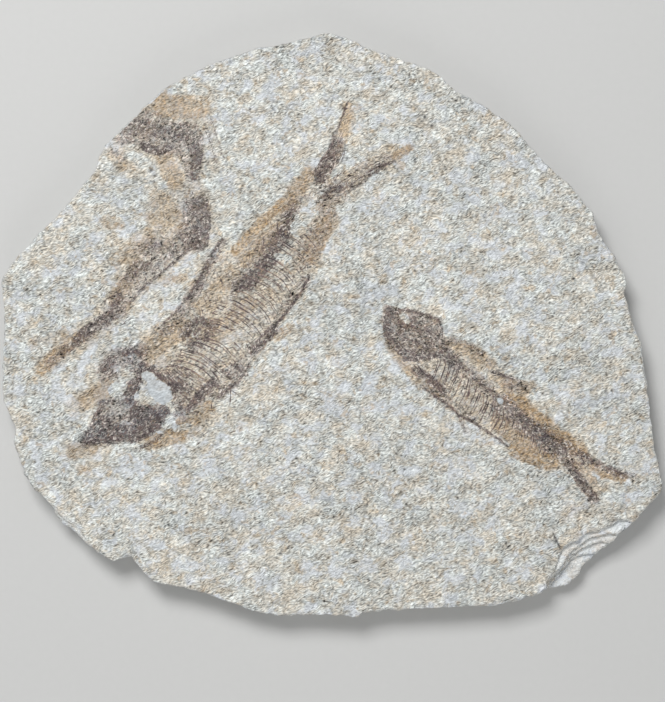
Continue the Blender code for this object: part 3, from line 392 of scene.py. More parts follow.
         (-45.8, -21.3), (-46.7, -22.8), (-48.3, -23.6), (-49.8, -22.8), (-51.1, -21.8), (-52.2, -20.7),
         (-52.8, -19.3), (-52.2, -17.8), (-51.4, -16.8))),
        (0.95, 2.4, 0.6, ((-53.4, -15.5), (-52.2, -15.5), (-51.9, -17.3))),
        (0.58, 2.4, 0.8, ((-55.7, -21.0), (-53.7, -21.9), (-51.9, -22.5))),
        (0.75, 1.4, 0.6, ((-46.4, -27.4), (-45.0, -30.0))),
        (0.72, 1.4, 0.6, ((-44.4, -30.6), (-41.2, -29.7))),
        (0.62, 3.4, 1.4, ((-9.9, 27.1), (-8.1, 30.3), (-5.5, 32.9))),
        (0.62, 1.2, 0.8, ((-15.7, 19.3), (-12.2, 19.0))),
        (0.58, 1.2, 0.8, ((-12.8, 17.3), (-11.6, 16.1))),
        (0.6, 0.8, 0.4, ((-40.0, -3.6), (-39.8, -3.9))),
        (0.35, 2.4, 1.2, ((-30.8, -5.1), (-26.4, -3.9))),
        (0.62, 0, 0.8, ((-63.8, -18.4), (-62.7, -17.0), (-60.3, -15.2), (-58.6, -14.1), (-56.9, -14.4),
         (-57.2, -15.8), (-59.2, -17.0), (-58.9, -18.7), (-60.3, -20.2), (-62.7, -21.3), (-64.1, -20.2),
         (-63.8, -18.4))),
        (0.45, 0, 0.5, ((-63.8, -18.4), (-62.1, -17.5), (-59.5, -18.1), (-60.1, -20.2), (-62.7, -21.0),
         (-64.1, -20.2), (-63.8, -18.4))),
        (0.35, 3.4, 1.2, ((-64.1, -23.9), (-60.1, -24.5))),
        (0.72, 1.5, 0.6, ((20.6, 1.9), (22.0, 0.6))),
        (0.4, 1.0, 0.6, ((17.4, 0.1), (18.0, -3.3))),
        (0.95, 1.2, 0.4, ((48.4, -22.3), (49.1, -22.8))),
        (0.35, 2.0, 1.2, ((73.9, -43.4), (75.7, -44.5))),
        (0.4, 2.6, 1.4, ((40.3, -10.9), (43.8, -13.8))),
        (0.35, 1.6, 1.0, ((65.2, -39.9), (68.1, -41.6))),
        (0.45, 2.4, 1.0, ((-5.0, 34.7), (-3.5, 37.0), (-2.3, 39.3))),
        (0.5, 0.8, 0.5, ((0.3, 43.1), (3.2, 45.7), (5.5, 47.4))),
    ),
}

# The bones of each fish. Spacing is between its film's points, swell is the film's relief, and lie is the way
# that its fibres run, in degrees. Splinters are (number to a square millimetre, width, length). A fan of fine
# bones, such as ribs or rays, is (name, count, bow, thickness, jitter, line of the roots, line of the tips).
# A bone by itself is (thickness, points), a backbone (count, radius, points) and a lump (radius, height,
# point).
FISHES = {
    "large_fish": {
        "spacing": 0.27,
        "swell": 0.22,
        "lie": 46,
        "splinters": (2.6, 0.3, 0.9),
        "fans": (
            ("ribs", 42, 2.4, 0.44, 0.5, ((-47.3, -12.6), (-42.1, -6.5), (-36.3, 0.7), (-30.5, 7.7),
             (-24.7, 14.1), (-19.5, 19.9)), ((-33.4, -21.6), (-28.7, -18.4), (-24.1, -13.2), (-20.0, -7.4),
             (-16.0, -1.6), (-11.9, 3.6), (-7.9, 9.4))),
            ("hind_ribs", 13, 1.4, 0.4, 0.35, ((-20.0, 19.3), (-15.4, 24.5), (-11.3, 29.7)), ((-9.0, 9.4),
             (-5.5, 16.4), (-2.6, 22.8))),
            ("front_ribs", 12, -1.0, 0.34, 0.3, ((-50.2, -14.4), (-47.9, -13.2), (-45.0, -11.5)),
             ((-42.1, -23.1), (-36.3, -21.3), (-29.9, -19.6))),
            ("upper_spines", 30, -1.0, 0.22, 0.45, ((-43.2, -6.8), (-34.0, 4.2), (-23.5, 16.4),
             (-11.9, 30.3)), ((-46.1, 0.7), (-34.5, 17.0), (-24.7, 23.9), (-11.9, 37.3))),
            ("anal_rays", 11, 0.5, 0.17, 0.15, ((-9.0, 15.2), (-6.7, 19.9), (-4.4, 25.1)), ((-2.6, 18.1),
             (0.3, 22.8), (2.0, 28.6))),
            ("upper_lobe", 9, -0.8, 0.2, 0.1, ((-5.0, 42.5), (-2.6, 40.2), (-0.3, 39.0)), ((5.2, 64.2),
             (6.6, 58.7), (4.3, 51.8))),
            ("fork_rays", 6, 0.2, 0.18, 0.1, ((-1.5, 41.6), (0.3, 40.5)), ((2.3, 46.5), (6.4, 47.1))),
            ("lower_lobe", 9, 0.8, 0.2, 0.1, ((-0.3, 41.3), (2.0, 39.0), (3.2, 37.3)), ((18.8, 50.6),
             (22.9, 50.6), (17.7, 46.5))),
            ("dorsal_rays", 9, 0.3, 0.16, 0.15, ((-39.2, 9.4), (-35.7, 15.2), (-32.2, 21.0)), ((-40.9, 7.7),
             (-36.9, 14.6), (-31.9, 23.3))),
            ("pectoral_rays", 6, 0.3, 0.18, 0.1, ((-41.8, -24.8), (-40.6, -26.0)), ((-36.0, -15.5),
             (-34.0, -16.4))),
            ("chest_rays", 8, 0.4, 0.18, 0.25, ((-45.0, -22.5), (-43.8, -27.1)), ((-40.9, -21.3),
             (-38.0, -24.2))),
        ),
        "bones": (
            (0.32, ((-6.4, 12.9), (-9.0, 8.3), (-11.6, 4.5), (-13.9, 1.9), (-16.6, -1.3))),
            (0.26, ((-6.7, 12.3), (-10.2, 7.1), (-13.7, 2.8))),
            (0.34, ((-66.4, -23.1), (-64.1, -22.2), (-61.2, -22.5), (-58.3, -22.2), (-56.6, -23.1))),
            (0.36, ((-69.3, -28.9), (-67.9, -26.0), (-66.1, -23.3))),
            (0.4, ((-57.2, -33.8), (-54.3, -32.9), (-51.4, -31.2), (-49.0, -28.9))),
            (0.26, ((-61.2, -26.0), (-60.1, -24.8), (-58.6, -25.7), (-58.9, -27.4), (-60.3, -28.0),
             (-61.2, -26.8))),
            (0.45, ((-54.5, -12.9), (-54.8, -15.5), (-56.0, -18.4), (-57.4, -21.3))),
            (0.42, ((-54.0, -14.1), (-52.2, -13.2), (-49.6, -15.5), (-47.3, -17.5), (-45.8, -20.4))),
            (0.3, ((-65.9, -16.1), (-65.0, -13.2), (-63.2, -10.9), (-60.9, -9.4))),
            (0.32, ((-59.8, -10.3), (-58.3, -8.6), (-56.0, -8.0), (-54.3, -9.1))),
            (0.22, ((-5.2, 43.4), (-2.6, 47.7), (0.0, 51.2), (1.7, 55.2), (2.9, 59.3), (4.0, 62.8),
             (5.2, 65.1))),
            (0.22, ((4.0, 39.0), (9.0, 42.5), (14.8, 46.3), (20.0, 49.2), (23.5, 50.9))),
            (0.2, ((-4.7, 34.7), (-0.3, 36.4), (4.0, 37.0))),
            (0.28, ((-41.5, 6.5), (-38.3, 12.6), (-34.8, 19.6), (-31.3, 24.2))),
            (0.18, ((-48.2, -0.1), (-45.6, 2.5), (-43.2, 4.8), (-41.5, 7.1))),
            (0.22, ((-31.9, -21.3), (-28.2, -17.8), (-25.5, -15.5), (-23.5, -12.3))),
            (0.2, ((-50.2, -11.5), (-46.1, -11.2), (-41.5, -11.2), (-37.4, -12.6))),
            (0.2, ((-35.4, -5.1), (-32.8, -1.6), (-27.6, -0.1), (-24.7, 1.0), (-20.0, -0.1),
             (-18.3, -2.8))),
            (0.22, ((-52.5, -30.0), (-55.4, -31.5), (-58.9, -31.8), (-63.5, -32.3))),
            (0.24, ((-46.1, -26.0), (-45.8, -28.9), (-45.6, -31.2))),
            (0.28, ((-56.3, -36.7), (-53.4, -35.5), (-50.2, -33.8))),
        ),
        "backbone": (34, 0.34, ((-47.3, -12.6), (-40.9, -5.1), (-33.7, 3.3), (-26.4, 11.7), (-20.0, 19.3),
         (-13.7, 25.7), (-7.9, 32.0), (-3.2, 38.4))),
        "lumps": (
            (4.6, 0.35, (-52.5, -27.7)), (5.2, 0.3, (-61.8, -28.3)), (3.4, 0.3, (-49.3, -20.2)),
            (3.2, 0.22, (-60.6, -16.7)), (2.6, 0.25, (-63.5, -11.5)), (2.4, 0.2, (-55.1, -21.0)),
            (6.0, 0.12, (-27.6, -14.9)), (4.0, 0.15, (0.8, 39.0)), (3.0, 0.18, (-7.9, 30.3)),
        ),
    },
    "small_fish": {
        "spacing": 0.27,
        "swell": 0.2,
        "lie": -40,
        "splinters": (2.8, 0.26, 0.8),
        "fans": (
            ("ribs", 24, 0.7, 0.46, 0.3, ((30.7, -10.3), (35.9, -12.0), (40.9, -17.3), (46.1, -21.9),
             (49.6, -25.4)), ((26.9, -18.4), (30.7, -21.9), (35.9, -25.7), (41.4, -29.1), (46.7, -32.3))),
            ("hind_ribs", 12, 0.4, 0.36, 0.3, ((50.1, -25.4), (55.9, -30.0), (61.7, -34.1)), ((48.4, -32.9),
             (53.6, -36.4), (60.6, -39.3))),
            ("upper_spines", 22, 0.5, 0.22, 0.25, ((35.1, -9.7), (42.0, -16.1), (50.1, -23.6),
             (60.6, -31.8)), ((39.7, -7.4), (47.2, -14.4), (54.8, -22.5), (65.2, -32.3))),
            ("dorsal_rays", 9, 0.3, 0.2, 0.12, ((45.5, -14.1), (47.8, -16.7), (50.7, -20.2)),
             ((53.6, -16.7), (57.7, -17.5), (56.5, -20.7))),
            ("upper_lobe", 7, -0.4, 0.18, 0.08, ((68.7, -36.4), (69.9, -38.1), (70.4, -39.3)),
             ((87.0, -44.8), (83.2, -44.8), (79.1, -44.2))),
            ("lower_lobe", 7, 0.4, 0.18, 0.08, ((66.4, -38.7), (68.1, -38.7), (69.9, -39.6)),
             ((75.1, -51.2), (76.8, -50.9), (76.8, -47.4))),
            ("inner_rays", 6, 0.2, 0.16, 0.08, ((69.9, -39.9), (71.0, -39.9)), ((76.2, -45.1),
             (79.1, -43.4))),
            ("pectoral_rays", 5, 0.2, 0.2, 0.08, ((24.6, -12.3), (25.5, -12.9)), ((29.8, -18.4),
             (31.9, -17.5))),
            ("cheek_rays", 7, 0.3, 0.18, 0.1, ((20.0, -11.5), (23.5, -12.0), (26.9, -10.9)), ((24.0, -14.9),
             (26.9, -16.7), (29.8, -15.5))),
        ),
        "bones": (
            (0.3, ((27.2, -19.0), (30.7, -21.9), (34.5, -23.9), (36.5, -26.5), (40.9, -28.9), (43.2, -30.6),
             (47.0, -32.6), (50.4, -35.5))),
            (0.3, ((20.0, 3.9), (22.9, 3.3), (26.1, 2.5), (29.3, 1.6))),
            (0.26, ((15.9, 4.8), (15.6, 0.7), (16.2, -2.8), (18.0, -6.2), (20.3, -9.4))),
            (0.3, ((27.8, -9.4), (29.8, -8.8), (31.9, -8.0), (33.6, -7.1))),
            (0.24, ((19.1, 3.0), (19.1, 0.7), (20.3, -1.0), (22.0, -1.3))),
            (0.22, ((29.8, 1.0), (31.9, -1.0), (32.5, -3.6), (32.2, -5.9))),
            (0.24, ((24.6, -12.6), (27.5, -14.9), (30.7, -17.3))),
            (0.22, ((36.5, -26.5), (37.4, -28.6), (38.3, -30.6))),
            (0.22, ((70.4, -37.0), (75.1, -39.6), (80.3, -41.9), (87.0, -44.8))),
            (0.22, ((65.8, -39.9), (68.7, -42.8), (71.6, -47.4), (74.5, -50.9))),
            (0.18, ((46.1, -13.5), (49.0, -14.6), (51.9, -16.1))),
            (0.22, ((19.4, -3.3), (22.9, -5.1), (26.9, -5.7), (30.4, -4.5))),
        ),
        "backbone": (34, 0.28, ((33.0, -8.0), (35.9, -10.9), (40.9, -16.1), (45.2, -19.9), (51.9, -26.2),
                     (60.6, -32.3),
         (67.8, -38.1))),
        "lumps": (
            (4.4, 0.3, (23.5, -3.3)), (1.2, 0.35, (21.1, 0.7)), (1.0, 0.4, (48.7, -22.5)),
            (3.0, 0.18, (28.1, -2.8)), (2.4, 0.15, (69.9, -38.1)),
        ),
    },
    "bent_fish": {
        "spacing": 0.33,
        "swell": 0.12,
        "lie": 52,
        "splinters": (1.3, 0.24, 1.0),
        "fans": (
            ("neck_bones", 12, 0.4, 0.17, 0.4, ((-41.5, 47.7), (-43.2, 39.0), (-40.9, 32.0)),
             ((-36.9, 46.0), (-36.3, 37.3), (-34.5, 29.7))),
            ("ribs", 18, -0.8, 0.22, 0.6, ((-39.2, 33.2), (-42.1, 25.7), (-49.6, 20.4), (-57.2, 14.1)),
             ((-34.5, 26.8), (-39.8, 20.4), (-48.5, 14.1), (-55.4, 8.3))),
            ("loose_ribs", 10, 0.6, 0.18, 0.5, ((-65.9, 5.9), (-63.5, 1.3), (-61.2, -1.6)), ((-60.6, 9.4),
             (-57.7, 4.8), (-57.2, 1.3))),
            ("tail_rays", 8, 0.4, 0.18, 0.15, ((-68.8, -1.6), (-70.5, -3.9), (-72.2, -5.1)), ((-84.4, -8.0),
             (-85.6, -12.6), (-82.7, -14.9))),
            ("head_bones", 9, 0.5, 0.2, 0.45, ((-61.2, 54.7), (-55.4, 57.0), (-49.6, 56.4)), ((-52.5, 50.0),
             (-46.1, 50.6), (-39.2, 50.0))),
        ),
        "bones": (
            (0.24, ((-40.9, 21.9), (-45.6, 17.5), (-50.8, 13.5), (-55.4, 9.4))),
            (0.26, ((-54.8, 50.6), (-52.5, 49.4), (-49.6, 49.2), (-46.7, 50.3))),
            (0.2, ((-47.9, 37.3), (-45.6, 34.7), (-42.7, 33.2))),
            (0.2, ((-36.9, 56.7), (-34.8, 51.8), (-33.4, 46.0))),
            (0.16, ((-35.1, 59.3), (-33.4, 54.7), (-31.1, 47.7))),
            (0.2, ((-64.7, 10.6), (-65.9, 7.7), (-65.3, 5.4))),
            (0.18, ((-64.1, 7.1), (-61.8, 3.6), (-58.3, -0.4))),
        ),
        "backbone": (30, 0.22, ((-42.1, 50.6), (-40.3, 41.9), (-40.0, 34.4), (-46.1, 25.7), (-55.4, 18.1),
                     (-61.8, 8.3),
         (-69.9, -0.4))),
        "lumps": (
            (4.0, 0.16, (-50.8, 50.6)), (4.5, 0.14, (-39.8, 51.8)), (4.0, 0.12, (-36.3, 29.1)),
        ),
    },
}

# Small bones that lie loose on the stone beside the fishes: (thickness, points).
LOOSE_BONES = (
    (0.55, ((-29.0, -19.3), (-29.0, -21.9), (-29.3, -24.5))),
    (0.3, ((-29.0, -19.3), (-27.6, -20.2), (-26.1, -21.3))),
    (0.34, ((-34.5, -23.1), (-34.5, -25.1), (-33.1, -26.8))),
    (0.26, ((-37.7, -32.9), (-36.0, -31.8), (-34.0, -30.3))),
    (0.16, ((-36.9, -28.0), (-36.0, -27.4), (-35.4, -26.5))),
    (0.16, ((-37.1, -28.6), (-36.0, -29.7), (-34.5, -30.3))),
    (0.24, ((-76.6, -30.9), (-74.6, -30.0), (-72.2, -30.3))),
    (0.16, ((-75.7, -32.9), (-74.0, -31.8), (-71.7, -31.2))),
    (0.22, ((-28.7, -17.8), (-26.4, -16.4), (-24.1, -14.4))),
    (0.22, ((36.5, -26.5), (37.4, -28.6), (38.5, -30.9))),
    (0.16, ((-47.9, 7.1), (-46.1, 5.9), (-43.8, 6.2))),
    (0.16, ((-31.6, 57.6), (-30.5, 55.2), (-29.9, 51.8))),
    (0.16, ((-32.5, 53.5), (-31.1, 50.6), (-31.6, 47.1))),
)


# ------------------------------------------------------------------------------------------ places and noise
def smooth(values):
    """An S-shaped ramp from 0 to 1."""
    values = np.clip(values, 0, 1)
    return values * values * (3 - 2 * values)


def lattice(i, j, seed):
    """A repeatable number from 0 to 1 for each corner of a lattice."""
    n = (i * 374761393 + j * 668265263 + seed * 1274126177) & 0xFFFFFFFF
    n = ((n ^ (n >> 13)) * 1103515245) & 0xFFFFFFFF
    n = ((n ^ (n >> 15)) * 747796405) & 0xFFFFFFFF
    return ((n ^ (n >> 16)) & 0xFFFF) / 65535.0


def wander(x, y, seed):
    """Smooth noise from about -1 to 1 over a plane, with a lattice step of 1."""
    i, j = np.floor(x).astype(np.int64), np.floor(y).astype(np.int64)
    u, v = x - i, y - j

    def corner(di, dj):
        turn = 2 * math.pi * lattice(i + di, j + dj, seed)
        return np.cos(turn) * (u - di) + np.sin(turn) * (v - dj)

    su, sv = u**3 * (u * (6 * u - 15) + 10), v**3 * (v * (6 * v - 15) + 10)
    low = corner(0, 0) + su * (corner(1, 0) - corner(0, 0))
    high = corner(0, 1) + su * (corner(1, 1) - corner(0, 1))
    return 1.5 * (low + sv * (high - low))


def near_path(x, y, path, reach):
    """True for each place within reach of the box round a path."""
    xs, ys = zip(*path)
    return (x > min(xs) - reach) & (x < max(xs) + reach) & (y > min(ys) - reach) & (y < max(ys) + reach)


def distance_to_point(x, y, point):
    """Distance of each place from one point."""
    return np.hypot(x - point[0], y - point[1])


def distance_to_path(x, y, path):
    """Distance of each place from an open path of points."""
    nearest = np.full(x.shape, 1e9)
    for (ax, ay), (bx, by) in zip(path, path[1:]):
        dx, dy = bx - ax, by - ay
        share = np.clip(((x - ax) * dx + (y - ay) * dy) / max(dx * dx + dy * dy, 1e-9), 0, 1)
        nearest = np.minimum(nearest, (x - ax - share * dx) ** 2 + (y - ay - share * dy) ** 2)
    return np.sqrt(nearest)


def inside_loop(x, y, loop):
    """True for each place within a closed loop of points."""
    found = np.zeros(x.shape, bool)
    for (ax, ay), (bx, by) in zip(loop, loop[1:] + loop[:1]):
        if ay != by:
            found ^= ((ay > y) != (by > y)) & (x < ax + (bx - ax) * (y - ay) / (by - ay))
    return found


def depth_in_loop(x, y, loop, reach):
    """Signed distance to a closed loop, positive within it, worked out near it and capped elsewhere."""
    depth = np.full(x.shape, -reach, float)
    near = near_path(x, y, loop, reach)
    away = distance_to_path(x[near], y[near], loop + loop[:1])
    depth[near] = np.clip(np.where(inside_loop(x[near], y[near], loop), away, -away), -reach, reach)
    return depth


# ------------------------------------------------------------------------------------------ sheets of points
def loose_lattice(low, high, spacing, jitter, grain, seed):
    """A jittered triangular grid over a rectangle, with a row of each coordinate for each row of points."""
    rows = np.arange(low[1], high[1], spacing * 0.866)
    x, y = np.meshgrid(np.arange(low[0], high[0], spacing), rows)
    x = x + spacing * 0.5 * (np.arange(len(rows)) % 2)[:, None]
    x = x + jitter * spacing * wander(x / spacing * grain, y / spacing * grain, seed)
    y = y + jitter * spacing * wander(x / spacing * grain, y / spacing * grain, seed + 1)
    return x, y


def loose_grid(low, high, spacing, seed):
    """The points of such a grid, loosened as the stone's are."""
    x, y = loose_lattice(low, high, spacing, 0.22, 0.7, seed)
    return x.ravel(), y.ravel()


def lattice_triangles(rows, columns):
    """The triangles of a triangular grid, by the numbers of their points."""
    i, j = np.meshgrid(np.arange(columns - 1), np.arange(rows - 1))
    corner, odd = j * columns + i, j % 2
    first = np.stack([corner, corner + 1, corner + columns + odd], -1)
    second = np.stack([corner + 1 - odd, corner + columns + 1, corner + columns], -1)
    return np.concatenate([first.reshape(-1, 3), second.reshape(-1, 3)])


def triangulated(loop, extra):
    """Triangles that fill a loop and use every extra point: (points, corner triples)."""
    points = [Vector(p) for p in (*loop, *extra)]
    filled = delaunay_2d_cdt(points, [], [list(range(len(loop)))], 1, 1e-5)
    return np.array([tuple(p) for p in filled[0]]), np.array([tuple(face) for face in filled[2]])


def border_steps(triangles):
    """The edges of a sheet of triangles that only one of them has, the way round that it has them."""
    ends = np.concatenate([triangles[:, [0, 1]], triangles[:, [1, 2]], triangles[:, [2, 0]]])
    known = {(int(a), int(b)) for a, b in ends}
    return [(a, b) for a, b in known if (b, a) not in known]


def traced(steps):
    """The closed loops that steps from point to point make."""
    after = dict(steps)
    loops = []
    while after:
        loop = [min(after)]
        while after[loop[-1]] != loop[0]:
            loop.append(after.pop(loop[-1]))
        after.pop(loop[-1])
        loops.append(loop)
    return loops


def linked(name, data):
    """A new object in the scene."""
    piece = bpy.data.objects.new(name, data)
    bpy.context.scene.collection.objects.link(piece)
    return piece


def place_points(points, faces, name, attributes, material):
    """A new object from points in millimetres, faces by their corners, and named numbers at each point."""
    mesh = bpy.data.meshes.new(name)
    mesh.from_pydata((np.asarray(points) * MM).tolist(), [], [list(map(int, face)) for face in faces])
    mesh.validate()
    for key, values in attributes.items():
        layer = mesh.attributes.new(key, "FLOAT", "POINT")
        layer.data.foreach_set("value", np.asarray(values, np.float32))
    mesh.polygons.foreach_set("use_smooth", [True] * len(mesh.polygons))
    mesh.materials.append(material)
    mesh.update()
    return linked(name, mesh)


def node_outline(name):
    """The outline of a packed fish, from the edge of its flat underside."""
    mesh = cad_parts[name].data
    numbers = {}
    corners = [tuple(np.round(np.array(v.co) / MM, 2)) for v in mesh.vertices]
    index = [numbers.setdefault(corner, len(numbers)) for corner in corners]
    places = np.array(list(numbers))
    triangles = np.array([[index[i] for i in face.vertices] for face in mesh.polygons])
    under = (places[triangles][:, :, 2] < places[:, 2].min() + 0.02).all(1)
    [loop] = traced(border_steps(triangles[under]))
    return [tuple(places[i][:2]) for i in loop]


OUTLINES = {name: node_outline(name) for name in FISHES}


def depth_in_fishes(x, y):
    """Signed distance to the fishes' outlines, positive within them."""
    depth = np.full(x.shape, -FISH_REACH)
    for outline in OUTLINES.values():
        depth = np.maximum(depth, depth_in_loop(x, y, outline, FISH_REACH))
    return depth


# ----------------------------------------------------------------------------------------- form of the stone
def stone_height(x, y, stone):
    """Height of the split face: low swells, crumbly streaks along the bedding, and marks."""
    along = x * math.cos(STREAK_ANGLE) + y * math.sin(STREAK_ANGLE)
    across = y * math.cos(STREAK_ANGLE) - x * math.sin(STREAK_ANGLE)
    swell = wander(along / 38, across / 27, 3) + 0.5 * wander(along / 17, across / 10, 7)
    bend = 0.7 * wander(along / 5, across / 5, 11)
    lumps = wander(along / 4.2 + bend, across / 2.6, 13)
    flakes = 1 - 2 * np.abs(wander(along / 2.9, across / 1.7 + bend, 17))
    crumbs = wander(x / 1.15, y / 1.0, 19) + 0.6 * np.abs(wander(along / 1.9, across / 1.2, 23))
    patchy = 0.75 + 0.5 * wander(x / 13, y / 11, 29)
    height = stone.face_height / MM + stone.face_swell / MM * swell
    height = height + stone.crumble / MM * patchy * (0.85 * lumps + 0.40 * flakes + 0.60 * crumbs)
    ragged_x, ragged_y = x + 0.3 * wander(x / 2, y / 2, 31), y + 0.3 * wander(x / 2, y / 2, 37)
    height = height + FLAKE_HEIGHT * smooth(depth_in_loop(ragged_x, ragged_y, FLAKE, 3.0) / 0.3)
    for fall, width, path in GROOVES:
        away = distance_to_path(x, y, path) + 0.12 * wander(x / 1.3, y / 1.3, 41)
        height = height - fall * smooth(1 - away / width)
    for radius, point in DOTS:
        height = height - DOT_DEPTH * smooth(1.2 - distance_to_point(x, y, point) / radius)
    return height


def shaken(x, y, start, seeds):
    """One coordinate of each place, shaken over three lengths."""
    for (reach, length), seed in zip(STAIN_WARPS, seeds):
        start = start + reach * wander(x / length, y / length, seed)
    return start


def stains_and_painted_light(x, y):
    """How strongly each pigment colours each place, from 0 to 1, and how much darker the dots and the cracks
    are, the deeper cracks the darker. The pale and dark strokes by the flake are a painted highlight and a
    painted shadow.
    """
    shift_x = shaken(x, y, x, (41, 43, 47)) - x
    shift_y = shaken(x, y, y, (51, 53, 59)) - y
    found = {}
    for colour_layer, strokes in STAINS_AND_PAINTED_LIGHT.items():
        total = np.zeros(x.shape)
        for strength, width, softness, path in strokes:
            soft = STAIN_EDGE * softness
            near = near_path(x, y, path, width / 2 + 1.3 * soft + 1.2)
            if not near.any():
                continue
            loose = min(1.0, 0.12 + width / 3) if width else 0.9  # a thin line keeps its course
            here_x, here_y = x[near] + loose * shift_x[near], y[near] + loose * shift_y[near]
            away = distance_to_path(here_x, here_y, path) - width / 2
            if path[0] == path[-1]:
                away = np.where(inside_loop(here_x, here_y, path[:-1]), -soft, away)
            cover = strength * smooth(1.25 - away / soft)
            total[near] = np.maximum(total[near], cover) + 0.25 * np.minimum(total[near], cover)
        found[colour_layer] = np.clip(total, 0, 1)
    dark_marks_and_shade = np.zeros(x.shape)
    for radius, point in DOTS:
        dark_marks_and_shade = np.maximum(dark_marks_and_shade, smooth(1.5 - distance_to_point(x, y, point) / radius))
    for fall, width, path in GROOVES:
        dark_marks_and_shade = np.maximum(dark_marks_and_shade, 2.2 * fall * smooth(1.3 - distance_to_path(x, y, path) / width))
    found["dark_marks_and_shade"] = dark_marks_and_shade
    return found


def mark_distance(x, y):
    """Distance of each place from the nearest crack, dot or edge of the flake."""
    nearest = np.abs(depth_in_loop(x, y, FLAKE, 3.0))
    for _, _, path in GROOVES:
        nearest = np.minimum(nearest, distance_to_path(x, y, path))
    for _, point in DOTS:
        nearest = np.minimum(nearest, distance_to_point(x, y, point))
    return nearest


def marked_grid(low, high):
    """A loose grid over the face, finer near its cracks, its dots and the flake."""
    coarse = np.column_stack(loose_grid(low, high, FACE_SPACING, 61))
    fine = np.column_stack(loose_grid(low, high, MARK_SPACING, 63))
    coarse = coarse[mark_distance(*coarse.T) > MARK_REACH]
    fine = fine[mark_distance(*fine.T) < MARK_REACH]
    return tuple(np.concatenate([coarse, fine]).T)


def ring_levels():
    """Heights of the rim's rings, four to each layer."""
    levels, foot = [], 0.0
    for top in LAYER_TOPS:
        levels += [foot + 0.04, foot + 0.35 * (top - foot), foot + 0.7 * (top - foot), top - 0.05]
        foot = top + LAYER_GAP
    levels[-1] = LAYER_TOPS[-1] - 0.45
    return levels


def packed_radii(levels):
    """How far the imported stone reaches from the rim's centre, at each level and turn."""
    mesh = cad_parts["slab"].data
    shell = BVHTree.FromPolygons([v.co for v in mesh.vertices], [list(f.vertices) for f in mesh.polygons])
    centre, far = Vector((*RIM_CENTRE, 0)) * MM, RIM_FAR * MM
    radii = np.empty((len(levels), RIM_STEPS))
    for i, level in enumerate(levels):
        for j, turn in enumerate(TURNS):
            out = Vector((math.cos(turn), math.sin(turn), 0))
            hit = shell.ray_cast(centre + out * far + Vector((0, 0, level * MM)), -out)[0]
            radii[i, j] = math.hypot(hit.x - centre.x, hit.y - centre.y) / MM
    return radii


def rough_point(turn, radius, level):
    """A point of the broken rim, with chips that run through the layers and a fine grain along each."""
    out_x, out_y = math.cos(turn), math.sin(turn)
    x, y = RIM_CENTRE[0] + out_x * radius, RIM_CENTRE[1] + out_y * radius
    chip = noise.noise(Vector((x / 2.6, y / 2.6, 4.0))) * 0.34
    chip += noise.noise(Vector((x / 1.1, y / 1.1, 9.0))) * 0.16
    grain = noise.noise(Vector((x / 1.6, y / 1.6, level / 0.35))) * 0.30
    grain += noise.noise(Vector((x / 6.0, y / 6.0, level / 0.28))) * 0.28
    radius += chip + grain - 0.12
    sag = 0.05 * noise.noise(Vector((x / 3.0, y / 3.0, level)))
    return RIM_CENTRE[0] + out_x * radius, RIM_CENTRE[1] + out_y * radius, max(0.1, level + sag)


def rough_ring(radii, level):
    """A ring of the broken rim, from how far out the stone reaches at each turn."""
    return np.array([rough_point(turn, radius, level) for turn, radius in zip(TURNS, radii)])


def drawn_in(ring, inset):
    """A copy of a ring, moved in towards the rim's centre."""
    ring = ring.copy()
    reach = ring[:, :2] - np.array(RIM_CENTRE)
    ring[:, :2] -= reach / np.hypot(reach[:, 0], reach[:, 1])[:, None] * inset
    return ring


def rim_rings(stone):
    """Rings of points round the slab, from its back up to its face, and the steps that lie open among them.

    Each step is the number of the last ring on its tread, and how fully the tread shows at each turn.
    """
    levels = ring_levels()
    radii = packed_radii(levels)
    widest = radii.max(0)
    for level, row in zip(levels, radii):
        short = widest - row
        row += 0.85 * short * smooth((2.6 - short) / 1.2) * (level / LAYER_TOPS[-1]) ** 0.5
    rings, steps = [], []
    for k, level in enumerate(levels):
        rings.append(rough_ring(radii[k], level))
        if k % 4 == 3 and LAYER_TOPS[k // 4] in OPEN_LAYERS:
            below, above = rings[-1], rough_ring(radii[k + 1], levels[k + 1])
            for share in TREAD_SHARES:
                tread = below + share * (above - below)
                tread[:, 2] = below[:, 2] + TREAD_RISE * share * (above[:, 2] - below[:, 2])
                rings.append(tread)
            wide = np.hypot(*(above - below)[:, :2].T)
            steps.append((len(rings), smooth((wide - TREAD_WIDTH[0]) / TREAD_WIDTH[1])))
    edge = rings[-1]
    for inset, drop in BEVELS:
        ring = drawn_in(edge, inset)
        ring[:, 2] = stone_height(ring[:, 0], ring[:, 1], stone) - drop
        rings.append(ring)
    edge[:, 2] = np.minimum(edge[:, 2], rings[-2][:, 2] - 0.1)
    foot = drawn_in(rings[0], BACK_BEVEL[0])
    foot[:, 2] = 0.0
    rings[0][:, 2] = BACK_BEVEL[1]
    return [foot, *rings], steps


def within_ring(x, y, ring, margin):
    """True for each place inside a ring of the rim by a margin."""
    reach = ring[:, :2] - np.array(RIM_CENTRE)
    radius = np.hypot(reach[:, 0], reach[:, 1])
    turn = np.arctan2(y - RIM_CENTRE[1], x - RIM_CENTRE[0]) % (2 * math.pi)
    limit = np.interp(turn, np.append(TURNS, 2 * math.pi), np.append(radius, radius[0]))
    return np.hypot(x - RIM_CENTRE[0], y - RIM_CENTRE[1]) < limit - margin


